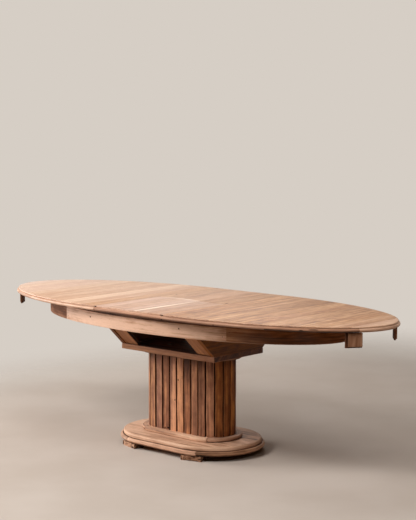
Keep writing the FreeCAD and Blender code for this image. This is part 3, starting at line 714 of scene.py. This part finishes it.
def metal(name, colour, rough):
    """Dull metal with fine scratches and darker patches."""
    material, shader, root = new_material(name)
    colour = paint(*colour)
    place = root.add("ShaderNodeTexCoord", output="Object")
    place.cloud(220.0, 3.0).rise(0.35, 0.7).mix(dimmed(colour, 0.45), colour).feeds(shader, "Base Color")
    (rough + place.cloud(1600.0, 1.0).swing(0.3)).feeds(shader, "Roughness")
    shader.inputs["Metallic"].default_value = 1.0
    return material


def turned(profile, segments):
    """A mesh turned about the upright axis from a profile of (radius, height) that starts and ends on it."""
    bm = bmesh.new()
    turns = [2 * math.pi * step / segments for step in range(segments)]
    rows = []
    for radius, z in profile:
        around = turns if radius else turns[:1]
        rows.append([bm.verts.new((radius * math.cos(turn), radius * math.sin(turn), z)) for turn in around])
    for lower, upper in zip(rows, rows[1:]):
        for step in range(segments):
            corners = [lower[step % len(lower)], lower[(step + 1) % len(lower)]]
            corners += [upper[(step + 1) % len(upper)], upper[step % len(upper)]]
            bm.faces.new(list(dict.fromkeys(corners)))
    return smoothed(bm, "turned")


zinc = metal("dull_zinc", (128, 126, 122), 0.45)
spread = {"Size X": "Float", "Size Y": "Float", "Level": "Float", "Metal": "Material"}
bolt_tree, given, root = node_tree("Bolts in a rectangle", spread)
grid = root.add("GeometryNodeMeshGrid", None, {0: given["Size X"], 1: given["Size Y"], 2: 2, 3: 2})
grid = root.add("GeometryNodeSetPosition", None, {"Geometry": grid, "Offset": root.vector(z=given["Level"])})
ended(repeated(grid, given["Geometry"], (0, 0, 0), (1, 1, 1)), given["Metal"])
low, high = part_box("tray_bolts")
dome = [(0.0, -0.02), (0.005, -0.02), (0.005, 0.0), (BOLT_RADIUS, 0.0), (BOLT_RADIUS, 0.0008)]
for turn in (math.radians(angle) for angle in (20, 40, 60, 75)):
    dome.append((BOLT_RADIUS * math.cos(turn), 0.0008 + 0.0031 * math.sin(turn)))
dome.append((0.0, BOLT_HEAD))
values = {"Size X": high.x - low.x - BOLT_INSET, "Size Y": high.y - low.y - BOLT_INSET, "Level": high.z - BOLT_HEAD}
bolt_mesh = grown(turned(dome, 24), bolt_tree, {**values, "Metal": zinc})
placed("tray_bolt_heads", bolt_mesh, "base", "steel", "tray_bolts")

# End boards and braces: two boards with sloping edges stand on the tray's ends, and four slanted braces beside
# them carry the bearers. They are glued and screwed from inside.
BRACE_FOOT = 0.177
BRACE_RUN = 0.143
BRACE_LEAN = 1.0593
BRACE_RECESS = 0.008
BRACE_INSIDE_SHADE = -0.26
for node, tone in {"end_board_left": 0.16, "end_board_right": 0.13}.items():
    sawn(f"{node}_sloped", node, tray_teak, "base", "tray_wood", CROSSWAYS, tone, 0.0018, 0.6, cuts=3, worn=0.0006)
brace_tones = {"front_left": 0.76, "front_right": 0.70, "back_left": 0.45, "back_right": 0.5}
for corner, tone in brace_tones.items():
    node = f"brace_{corner}"
    low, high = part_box(node)
    face = -1 if "front" in corner else 1
    slope = Vector((0, face * BRACE_RUN, high.z - low.z)).normalized()
    brace = eased(node, 0.0016, cuts=3, worn=0.0006)
    for vert in brace.verts:
        ahead = face * vert.co.y - BRACE_FOOT - BRACE_LEAN * (vert.co.z - low.z)
        if ahead > BRACE_RECESS / 2:
            vert.co.y -= face * BRACE_RECESS
    grained(brace, brace.faces, slope)
    number = draw.random()
    marked(brace, brace.faces, tone, number, 0.12)
    # The braces' inner faces are painted dark: painted shade inside the leaf store.
    inward = -math.copysign(1, low.x)
    inside = [side for side in brace.faces if side.normal.x * inward > 0.8]
    marked(brace, inside, BRACE_INSIDE_SHADE, number)
    finished(f"{node}_slanted", brace, tray_teak, "base", "tray_wood", node)

# Bearers and guide rails: two flat bearers across the end boards carry a pair of rails with a groove in each side.
# They are planed and unfinished.
beams = {"bearer_left": CROSSWAYS, "bearer_right": CROSSWAYS, "rail_front": LENGTHWAYS, "rail_back": LENGTHWAYS}
for node, grain in beams.items():
    tone = 0.45 + 0.2 * draw.random()
    sawn(f"{node}_planed", node, inner_teak, "base", "inner_wood", grain, tone, 0.0012)

# Apron: an oval frame of four bent teak boards, butted at four joints and held by a glue block behind each one.
# The right board is painted dark as painted shade under the overhanging top, the front board is painted darker
# towards its right end as painted shade, and a few old nail holes are left in the faces.
APRON_LENGTH = 0.989
APRON_WIDTH = 0.457
APRON_JOINT = 0.565
APRON_THICKNESS = 0.0235
APRON_EASE = 0.0022
REBATE = 0.0115
TONGUE = 0.017
apron_dark = (114, 71, 46)
apron_teak = teak("apron_teak", apron_dark, (184, 136, 104), (222, 180, 152), streak=1.2, grey=0.1)
apron_end_colours = (apron_dark, (184, 138, 108), (216, 172, 142))
apron_end_teak = teak("apron_end_teak", *apron_end_colours, gloss=0.7, streak=0.35, shine=0.08)


def oval_normal(x, y, length, width):
    """The outward normal of an oval at a place on it."""
    return Vector((x / length**2, y / width**2, 0)).normalized()


def oval_run(length, width, start, end, count):
    """Stations along part of an oval between two angles, with one close to each end for the joint."""
    turns = [start + (end - start) * step / count for step in range(count + 1)]
    near = 0.0012 / max(length, width)
    turns[1:1] = [start + near]
    turns[-1:-1] = [end - near]
    stations, run, last = [], 0.0, None
    for turn in turns:
        x, y = length * math.cos(turn), width * math.sin(turn)
        normal = oval_normal(x, y, length, width)
        run += math.dist(last, (x, y)) if last else 0.0
        last = (x, y)
        stations.append((x, y, normal.x, normal.y, run))
    return stations


low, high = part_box("apron_front")
apron_top = high.z - REBATE
# The top is rebated behind a tongue. The third values there are painted shade: the face darkens towards the rebate,
# and the rebate and tongue are darkest in the gap under the nosing. The bottom edge is rubbed pale.
apron_profile = [
    (-APRON_THICKNESS, low.z + APRON_EASE, 0.5),
    (-APRON_THICKNESS + APRON_EASE, low.z, 0.5),
    (-APRON_EASE, low.z, 0.8),
    (-APRON_EASE * 0.3, low.z + APRON_EASE * 0.3, 1.0),
    (0.0, low.z + APRON_EASE, 0.3),
    (0.0, low.z + APRON_EASE * 3, 0.0),
    (0.0, apron_top - APRON_EASE * 6, 0.0),
    (0.0, apron_top - APRON_EASE, -0.12),
    (-APRON_EASE, apron_top, -0.4),
    (-TONGUE, apron_top, -1.0),
    (-TONGUE, high.z - 0.0005, -1.0),
    (-APRON_THICKNESS, high.z - 0.0005, 0.0),
]
bend = math.acos(APRON_JOINT / APRON_LENGTH)
# Painted shade: the right board's tones sink under the overhanging top, and the front board's tones fall at its right
# end.
right_tones = (0.29, 0.18, 0.0, -0.07, -0.03, 0.0, 0.01, 0.0, 0.02, 0.06, 0.12, 0.2, 0.3)
front_tones = (0.5, 0.84, 0.96, 0.94, 0.94, 1.02, 0.92, 0.36)
apron_boards = {
    "right": (-bend, bend, right_tones, 0.2, apron_end_teak),
    "back": (bend, math.pi - bend, (0.55,), 0.0, apron_teak),
    "left": (math.pi - bend, math.pi + bend, (0.2, 0.15, 0.08, 0.08), 0.0, apron_end_teak),
    "front": (math.pi + bend, 2 * math.pi - bend, front_tones, 0.0, apron_teak),
}
for side, (start, end, tones, warm, wood) in apron_boards.items():
    apron = workpiece()
    stations = oval_run(APRON_LENGTH, APRON_WIDTH, start, end, 40)
    swept(apron, stations, apron_profile, tones, draw.random(), warm)
    finished(f"apron_{side}_bent", apron, wood, "base", "apron_wood", f"apron_{side}")
sawn("apron_glue_blocks", "apron_blocks", inner_teak, "base", "inner_wood", LENGTHWAYS, 0.5, 0.0012)

# Apron nails: old iron nails with flat heads, rusted nearly black.
# They are driven flush through the apron near its joints and into the guide frame.
NAIL_HEAD = 0.0018
OLD_HOLE = 0.004
nail_iron = metal("rusted_nail", (58, 40, 30), 0.7)
mark_tree, given, root = node_tree("Nail heads and knots", {"Stuff": "Material"})
ball = root.add("GeometryNodeMeshUVSphere", None, {"Segments": 12, "Rings": 6, "Radius": 1.0})
course, size = (noted(root, label, "FLOAT_VECTOR") for label in ("course", "size"))
facing = root.add("FunctionNodeAlignRotationToVector", {"axis": "X"}, {"Vector": course})
ended(repeated(given["Geometry"], ball, facing, size), given["Stuff"])


def set_marks(name, rows, stuff, body, slot):
    """Low lens-shaped marks from rows of place, level direction along the face and half sizes."""
    points = bpy.data.meshes.new(f"{name}_places")
    points.from_pydata([row[0] for row in rows], [], [])
    for label, column in (("course", 1), ("size", 2)):
        values = [value for row in rows for value in row[column]]
        points.attributes.new(label, "FLOAT_VECTOR", "POINT").data.foreach_set("vector", values)
    placed(name, grown(points, mark_tree, {"Stuff": stuff}), body, slot)


nail_places = {-0.3196: 0.7087, 0.3093: 0.7116, -0.545: 0.688, -0.548: 0.716, 0.546: 0.69, 0.58: 0.714}
nails = []
for x, height in nail_places.items():
    y = APRON_WIDTH * math.sqrt(1 - (x / APRON_LENGTH) ** 2)
    out = oval_normal(x, y, APRON_LENGTH, APRON_WIDTH)
    head = OLD_HOLE if abs(x) < 0.5 else NAIL_HEAD
    for face in (-1, 1):
        nails.append(((-face * x, face * y, height), (-face * out.y, -face * out.x, 0), (head, 0.0006, head)))
set_marks("apron_nail_heads", nails, nail_iron, "base", "steel")

# Half tops: each half oval is eleven teak planks laid across the table, with a thin lip over a bullnosed band of
# five lengths. Two runners and two stop blocks are screwed on below.
OVAL_LENGTH = 1.022
OVAL_WIDTH = 0.490
HALF_MIDDLE = 0.237
LIP_SETBACK = 0.009
BAND_WIDTH = 0.045
BAND_LIFT = 0.0035
BAND_SHARES = (0.57, 0.94)
NOSING = 0.009
NOSING_DEPTH = -0.043
PLANKS_PER_HALF = 11
RUNNER_ROOM = 0.0006
top_colours = ((147, 102, 75), (195, 151, 120), (228, 191, 160))
top_teak = teak("top_teak", *top_colours, gloss=0.5, streak=0.55, grey=0.12, shine=0.4)
figured_teak = teak("figured_teak", *top_colours, gloss=0.5, streak=0.85, grey=0.12, shine=0.4)
edge_teak = teak("edge_teak", (112, 76, 56), (170, 124, 96), (236, 196, 166), gloss=0.5)
low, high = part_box("right_planks")
TOP = high.z - 0.0003
UNDERSIDE = low.z + RUNNER_ROOM
NOSE_FOOT, LIP = (corner.z + BAND_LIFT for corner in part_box("right_band"))
QUIRK = LIP - 0.0018
plank_rings = [
    (BAND_WIDTH + 0.001, 0.0, UNDERSIDE),
    (BAND_WIDTH + 0.001, 0.0, LIP),
    (LIP_SETBACK + 0.0008, 0.0, LIP),
    (LIP_SETBACK, 0.0, LIP + 0.0010),
    (LIP_SETBACK, 0.0, TOP - 0.0042),
    (LIP_SETBACK + 0.0008, 0.0002, TOP - 0.0018),
    (LIP_SETBACK + 0.0022, 0.0006, TOP - 0.0005),
    (LIP_SETBACK + 0.0042, 0.0011, TOP),
]
# The plank tones are partly painted light: the left half is painted paler, palest towards its tip nearest the window
# light, and the right half darker, over each plank's own tone.
plank_tones = {
    "left": (0.46, 0.58, 0.88, 0.58, 0.72, 0.7, 0.82, 0.87, 0.88, 0.92, 0.97),
    "right": (0.22, 0.22, 0.26, 0.18, 0.30, 0.37, 0.39, 0.23, 0.43, 0.41, 0.69),
}
plank_warmth = {
    "left": (0.35, 0.05, 0.0, 0.0, -0.1, 0.0, -0.2, -0.3, -0.35, -0.35, -0.6),
    "right": (0.55, 0.55, 0.5, 0.5, 0.5, 0.45, 0.45, 0.45, 0.3, 0.25, 0.0),
}
# The left half's lip faces are painted a little darker: painted shade that mutes the window light on them.
lip_shading = {"left": -0.15, "right": 0.0}
# Painted light and shade on the nosing: the right half's front length darkens towards the right end, its tip length
# is painted pale as painted light, and the lower half of each bullnose is darkened as painted shade.
band_tones = {
    "left": ((0.66,), (0.7,), (0.74,), (0.66,), (0.68,)),
    "right": ((0.46, 0.46, 0.44, 0.36, 0.24), (0.42,), (0.84,), (0.5,), (0.5,)),
}
band_shading = {"left": (0.4, 0.3, 0.1, 0.1, 0.1), "right": (0.62, 0.95, 0.3, 0.4, 0.4)}


def plank_outline(back, nip, near, far, last):
    """The outline of one plank of a half top, a distance back from the oval's edge and in from its joints."""
    length, width = OVAL_LENGTH - back, OVAL_WIDTH - back
    near, far = near + nip, far - nip
    if last:
        lean = math.asin(near / length)
        xs = [length * math.sin(lean + (math.pi / 2 - lean) * step / 24) for step in range(25)]
    else:
        xs = [near + (far - near) * step / 8 for step in range(9)]
    front = [(x, -width * math.sqrt(max(0.0, 1 - (x / length) ** 2))) for x in xs]
    rear = [(x, -y) for x, y in reversed(front)]
    return front + (rear[1:] if last else rear)


def nosing_profile(shading, *inner):
    """The band's section: a bullnose, darker below as painted shade, and the inner corner above it."""
    middle = (LIP + NOSE_FOOT) / 2 - 0.0012
    profile = [(NOSING_DEPTH, NOSE_FOOT, -shading)]
    for turn in (math.radians(-90 + 15 * step) for step in range(12)):
        wear_and_shade = shading * min(0.2, math.sin(turn) - max(0.0, shading - 0.6))
        height = middle + (middle - NOSE_FOOT) * math.sin(turn)
        profile.append((NOSING * (math.cos(turn) - 1), height, wear_and_shade))
    return [*profile, *inner, (NOSING_DEPTH, LIP, 0.0)]


def bar(bm, middle, along, out, low, high, tone):
    """A small sawn block with eased ends, from its middle and two half sizes."""
    ease = 0.0012
    rings = []
    for back, z in ((ease, low), (0.0, low + ease), (0.0, high - ease), (ease, high)):
        reach, depth = along * (1 - back / along.length), out * (1 - back / out.length)
        places = [middle + reach * a + depth * b for a, b in ((-1, -1), (1, -1), (1, 1), (-1, 1))]
        rings.append([(place.x, place.y, z) for place in places])
    slab(bm, rings, tone)


FIRST_SCREW = 0.32
SCREW_PITCH = 0.15
SCREW_SEAT = 0.6995
STOP_SCREW = (1.14937, 0.1893)
STOP_SCREW_STEP = (0.0321, -0.03833)
screw_line = {"left": 0.25025, "right": 0.18975}
screw_shape = [(0.0, -0.0016), (0.0021, -0.0016), (0.0045, 0.0), (0.0047, 0.0004), (0.0041, 0.0007)]
screw_shape += [(0.0012, 0.0007), (0.0010, -0.0002), (0.0, -0.0002)]
row = {"Count": "Int", "Start": "Vector", "Step": "Vector", "Size": "Float", "Metal": "Material"}
screw_tree, given, root = node_tree("Row of screws", row)
line = {"Count": given["Count"], "Start Location": given["Start"], "Offset": given["Step"]}
line = root.add("GeometryNodeMeshLine", {"mode": "OFFSET"}, line)
ended(repeated(line, given["Geometry"], (math.pi, 0, 0), given["Size"]), given["Metal"])

for side, side_name, wood in ((-1, "left", top_teak), (1, "right", figured_teak)):
    body = f"{side_name}_half"
    planks = workpiece()
    pitch = OVAL_LENGTH / PLANKS_PER_HALF
    for index, (tone, warm) in enumerate(zip(plank_tones[side_name], plank_warmth[side_name])):
        last = index == PLANKS_PER_HALF - 1
        rings = []
        for back, nip, z in plank_rings:
            outline = plank_outline(back, nip, index * pitch, (index + 1) * pitch, last)
            rings.append([(side * (HALF_MIDDLE + x), side * y, z) for x, y in outline])
        sides = slab(planks, rings, tone, warm)
        lip = [face for face in sides if face.calc_center_median().z > LIP]
        shaded(planks, lip, "wear_and_shade", lambda loop: lip_shading[side_name])
        for face in lip:
            face[planks.faces.layers.float["warm"]] = min(0.0, warm)
    finished(f"{side_name}_plank_panel", planks, wood, body, "top_planks", f"{side_name}_planks", grain=CROSSWAYS)

    bands = workpiece()
    near, far = (math.acos(share) for share in BAND_SHARES)
    cuts = (-math.pi / 2, -near, -far, far, near, math.pi / 2)
    for start, end, tones, shading in zip(cuts, cuts[1:], band_tones[side_name], band_shading[side_name]):
        stations = [
            (side * (HALF_MIDDLE + x), side * y, side * nx, side * ny, run)
            for x, y, nx, ny, run in oval_run(OVAL_LENGTH, OVAL_WIDTH, start, end, 30)
        ]
        corner = ((-0.0095, QUIRK, 0.0), (-0.011, QUIRK + 0.0006, 0.0), (-0.0118, LIP, 0.0))
        swept(bands, stations, nosing_profile(shading, *corner), tones, draw.random())
    finished(f"{side_name}_nosing", bands, edge_teak, body, "edge_band", f"{side_name}_band")

    screws = bmesh.new()
    for face, face_name in ((-1, "front"), (1, "back")):
        node = f"{side_name}_runner_{face_name}"
        tone = 0.5 + 0.15 * draw.random()
        sawn(f"{node}_planed", node, inner_teak, body, "inner_wood", LENGTHWAYS, tone, 0.001)
        node = f"{side_name}_stop_{face_name}"
        low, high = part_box(node)
        middle = (low + high) / 2
        out = oval_normal(middle.x - side * HALF_MIDDLE, middle.y, OVAL_LENGTH, OVAL_WIDTH)
        along = Vector((abs(out.y) * side, abs(out.x) * -face, 0))
        stop = workpiece()
        # The stop's back block is painted dark: painted shade round the paler front board.
        bar(stop, middle - out * 0.003, along * 0.0405, out * 0.0045, low.z, high.z, -0.16)
        bar(stop, middle + out * 0.0045 + along * 0.0065, along * 0.034, out * 0.003, low.z + 0.006, high.z, 0.25)
        finished(f"{node}_block", stop, apron_end_teak, body, "apron_wood", node, grain=UPRIGHT)
        screw_rows = (
            (3, 1.0, (FIRST_SCREW, screw_line[side_name], SCREW_SEAT), (SCREW_PITCH, 0.0)),
            (2, 0.75, (*STOP_SCREW, low.z), STOP_SCREW_STEP),
        )
        for count, size, (x, y, z), (step_x, step_y) in screw_rows:
            values = {"Count": count, "Size": size, "Metal": zinc}
            values |= {"Start": (side * x, face * y, z), "Step": (side * step_x, face * step_y, 0.0)}
            mesh = grown(turned(screw_shape, 16), screw_tree, values)
            screws.from_mesh(mesh)
    screws.to_mesh(mesh)
    screws.free()
    placed(f"{side_name}_screw_heads", mesh, body, "steel", f"{side_name}_screws")

# Folding leaf: two panels of five planks with a straight length of band each, hinged along the middle of the table.
# Their side edges slope in below, so that the leaf lifts out between the halves.
LEAF_HALF = 0.2365
LEAF_UNDERCUT = 0.013
LEAF_SEAM = 0.0003
LEAF_ARRIS = 0.0012
LEAF_BAND_TONE = 0.45
brass = metal("satin_brass", (190, 152, 84), 0.35)
joint_glint = teak("pale_joint_glint", (214, 182, 152), (240, 216, 192), (250, 234, 216), gloss=0.5, grey=0.0)
leaf_joints = (-0.237, -0.1422, -0.0474, 0.0474, 0.1422, 0.237)
leaf_tones = {"front": (0.50, 0.50, 0.50, 0.44, 0.30), "back": (0.42, 0.38, 0.49, 0.24, 0.24)}
leaf_warmth = {"front": (-0.3, -0.12, -0.22, -0.1, 0.12), "back": (0.2, 0.25, 0.12, 0.4, 0.45)}
joint_glint_edges = {
    "front": (
        (0.041, 0.476), (0.037, 0.405), (0.034, 0.286), (0.041, 0.144), (0.046, 0.001),
        (0.050, 0.025), (0.054, 0.144), (0.059, 0.286), (0.060, 0.405), (0.055, 0.476),
    ),
    "back": ((-0.21, 0.002), (0.06, 0.002), (0.04, 0.010), (-0.04, 0.016), (-0.12, 0.013), (-0.19, 0.006)),
}
leaf_section = [(LEAF_SEAM, UNDERSIDE)]
leaf_section += [(OVAL_WIDTH - back, z) for back, nip, z in plank_rings]
leaf_section += [(LEAF_SEAM + 0.0009, TOP), (LEAF_SEAM, TOP - LEAF_ARRIS)]


def leaf_reach(z):
    """Half the leaf's width at a height."""
    return LEAF_HALF - LEAF_UNDERCUT * (TOP - z) / (TOP - NOSE_FOOT)


def leaf_plank_ring(face, edge, inward):
    """One end of a leaf plank's section at a joint, drawn in a little or dropped to its arris."""
    ring = []
    for y, z in leaf_section:
        height = z if inward else min(z, TOP - LEAF_ARRIS)
        limit = leaf_reach(height)
        ring.append((max(-limit, min(limit, edge)) + inward, face * y, height))
    return ring


for face, face_name in ((-1, "front"), (1, "back")):
    body = f"leaf_{face_name}"
    planks = workpiece()
    rows = zip(leaf_joints, leaf_joints[1:], leaf_tones[face_name], leaf_warmth[face_name])
    for start, end, tone, warm in rows:
        ends = ((start, 0.0), (start, 0.001), (end, -0.001), (end, 0.0))
        slab(planks, [leaf_plank_ring(face, edge, inward) for edge, inward in ends], tone, warm)
    finished(f"{body}_plank_panel", planks, top_teak, body, "top_planks", f"{body}_planks", grain=CROSSWAYS)

    # A thin pale strip flush on the planks is a painted glint, along a plank joint on the front panel and along the
    # hinge line on the back panel.
    strip = workpiece()
    levels = (TOP - LEAF_ARRIS, TOP + 0.00012)
    slab(strip, [[(x, face * y, z) for x, y in joint_glint_edges[face_name]] for z in levels], 0.7)
    finished(f"{body}_sapwood", strip, joint_glint, body, "top_planks", grain=CROSSWAYS)

    bands = workpiece()
    along = (-LEAF_HALF, -LEAF_HALF + 0.02, LEAF_HALF - 0.02, LEAF_HALF)
    stations = [(x, face * OVAL_WIDTH, 0.0, face, x) for x in along]
    profile = nosing_profile(0.4, (-0.0075, QUIRK, 0.0), (-0.009, LIP, 0.0))
    swept(bands, stations, profile, (LEAF_BAND_TONE,), draw.random())
    for vert in bands.verts:
        if abs(vert.co.x) > LEAF_HALF - 0.001:
            vert.co.x = math.copysign(LEAF_HALF - 0.2 * (LEAF_HALF - leaf_reach(vert.co.z)), vert.co.x)
    finished(f"{body}_nosing", bands, edge_teak, body, "edge_band", f"{body}_band")
    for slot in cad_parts[f"{body}_hinges"].material_slots:
        slot.material = brass

# Knots and old holes: small dark knots, chips and filled nail holes in the reclaimed wood, a few on each visible
# side. They are sunk flush in the slats, the nosing and the top.
KNOT_DEPTH = 0.0004
knot_wood = teak("knot_wood", (34, 20, 14), (52, 31, 22), (74, 46, 34), gloss=0.8, shine=0.05)
slat_knots = (
    (0.0394, 0.388, 0.0016, 0.011),
    (0.012, 0.372, 0.004, 0.005),
    (-0.012, 0.262, 0.003, 0.006),
    (-0.084, 0.104, 0.005, 0.008),
    (-0.062, 0.106, 0.008, 0.006),
    (-0.048, 0.103, 0.004, 0.01),
    (-0.118, 0.102, 0.005, 0.007),
    (0.085, 0.108, 0.005, 0.007),
)
rows = [
    ((face * -x, face * (COLUMN_RADIUS - KNOT_DEPTH / 2), z), LENGTHWAYS, (half_width, KNOT_DEPTH, half_height))
    for face in (-1, 1)
    for x, z, half_width, half_height in slat_knots
]
set_marks("slat_knots", rows, knot_wood, "base", "slat_wood")
nosing_marks = (
    (1.035, 0.7665, -0.0019, (0.024, 0.0012, 0.0026)),
    (0.985, 0.7625, -0.0006, (0.009, 0.0012, 0.0022)),
    (0.2425, 0.7765, -0.0092, (0.005, 0.0012, 0.003)),
    (0.2435, 0.757, -0.002, (0.006, 0.0012, 0.0035)),
    (0.56, 0.759, -0.0006, (0.005, 0.0008, 0.002)),
)
for side, side_name in ((-1, "left"), (1, "right")):
    rows = []
    for along, height, out, half in nosing_marks:
        x = along - HALF_MIDDLE
        y = -OVAL_WIDTH * math.sqrt(1 - (x / OVAL_LENGTH) ** 2)
        normal = oval_normal(x, y, OVAL_LENGTH, OVAL_WIDTH)
        place = side * (Vector((along, y, 0)) + normal * out)
        rows.append(((place.x, place.y, height), (-side * normal.y, side * normal.x, 0), half))
    set_marks(f"{side_name}_nosing_marks", rows, knot_wood, f"{side_name}_half", "edge_band")
seam_marks = (
    ((-0.2295, -0.4812, 0.7768), LENGTHWAYS, (0.007, 0.0012, 0.003)),
    ((0.2335, -0.4812, 0.7768), LENGTHWAYS, (0.003, 0.0008, 0.003)),
)
set_marks("leaf_front_seam_marks", seam_marks, knot_wood, "leaf_front", "edge_band")
top_marks = (
    ((-0.226, 0.125, TOP), LENGTHWAYS, (0.004, 0.008, 0.00025)),
    ((0.22, 0.028, TOP), LENGTHWAYS, (0.005, 0.014, 0.00025)),
)
set_marks("leaf_back_knots", top_marks, knot_wood, "leaf_back", "top_planks")

# Floor, light and camera: a plain pale floor that fades out, a soft low window light from the left, four weaker
# lights above and round the table and a dim warm room, seen from the photograph's place.
FLOOR_RADIUS = 6.0
floor_mesh = bpy.data.meshes.new("floor")
floor_bm = bmesh.new()
bmesh.ops.create_circle(floor_bm, cap_ends=True, segments=96, radius=FLOOR_RADIUS)
floor_bm.to_mesh(floor_mesh)
floor_bm.free()
shown("floor", floor_mesh)
floor_paint, shader, root = new_material("pale_floor")
floor_mesh.materials.append(floor_paint)
place = root.add("ShaderNodeTexCoord", output="Object")
windowward = place.vectors("DOT_PRODUCT", (-0.94, -0.33, 0.0), output="Value").maths("MAXIMUM", 0.0)
away = place.vectors("LENGTH", output="Value") + windowward * 0.6
place.cloud(1.6, 4.0).rise(0.3, 0.7).mix(paint(196, 184, 173), paint(204, 193, 183)).feeds(shader, "Base Color")
shader.inputs["Roughness"].default_value = 0.9
shader.inputs["Specular IOR Level"].default_value = 0.0
layers = {0: away.rise(2.2, 4.6), 1: Wire(root.tree, shader.outputs[0]), 2: root.add("ShaderNodeBsdfTransparent")}
root.add("ShaderNodeMixShader", None, layers).feeds(root.tree.nodes["Material Output"], "Surface")

world = bpy.data.worlds.new("studio")
world.use_nodes = True
bpy.context.scene.world = world
root = Wire(world.node_tree)
path = root.add("ShaderNodeLightPath", output="Is Camera Ray")
seen = (path + path.other("Is Glossy Ray") + path.other("Is Transmission Ray")).maths("MINIMUM", 1.0)
room = root.add("ShaderNodeBackground", None, {"Color": (1.0, 0.52, 0.24, 1.0), "Strength": 0.045})
wall = root.add("ShaderNodeBackground", None, {"Color": paint(214, 206, 197), "Strength": 1.0})
both = root.add("ShaderNodeMixShader", None, {0: seen, 1: room, 2: wall})
both.feeds(world.node_tree.nodes["World Output"], "Surface")


def soft_light(name, place, target, size, power):
    """A square area light that looks at a point."""
    data = bpy.data.lights.new(name, "AREA")
    data.size = size
    data.energy = power
    data.color = (1.0, 0.98, 0.96)
    light = shown(name, data)
    light.location = place
    light.rotation_euler = (Vector(target) - Vector(place)).to_track_quat("-Z", "Y").to_euler()


soft_light("window", (-6.5, -2.3, 1.8), (0.0, 0.0, 0.6), 2.4, 450.0)
soft_light("front", (-0.6, -3.4, 3.45), (0.0, 0.0, 0.6), 1.6, 126.0)
soft_light("overhead", (-0.7, 0.1, 3.3), (-0.3, 0.0, 0.7), 2.4, 16.0)
soft_light("right", (2.6, -1.2, 3.2), (0.6, 0.0, 0.7), 1.6, 46.0)
soft_light("back", (-2.1, 2.5, 2.9), (0.0, 0.0, 0.6), 1.8, 30.0)

PHOTO_HEIGHT = 520
FOCAL_PIXELS = 1333.19
camera_data = bpy.data.cameras.new("camera")
camera_data.sensor_fit = "VERTICAL"
camera_data.sensor_height = 36.0
camera_data.lens = FOCAL_PIXELS * camera_data.sensor_height / PHOTO_HEIGHT
camera = shown("camera", camera_data)
camera.location = (4.6989, -5.16144, 1.7288)
camera.rotation_euler = (math.radians(90 - 6.01299), 0.0, math.radians(41.6057))
bpy.context.scene.camera = camera
bpy.context.scene.view_settings.view_transform = "Standard"
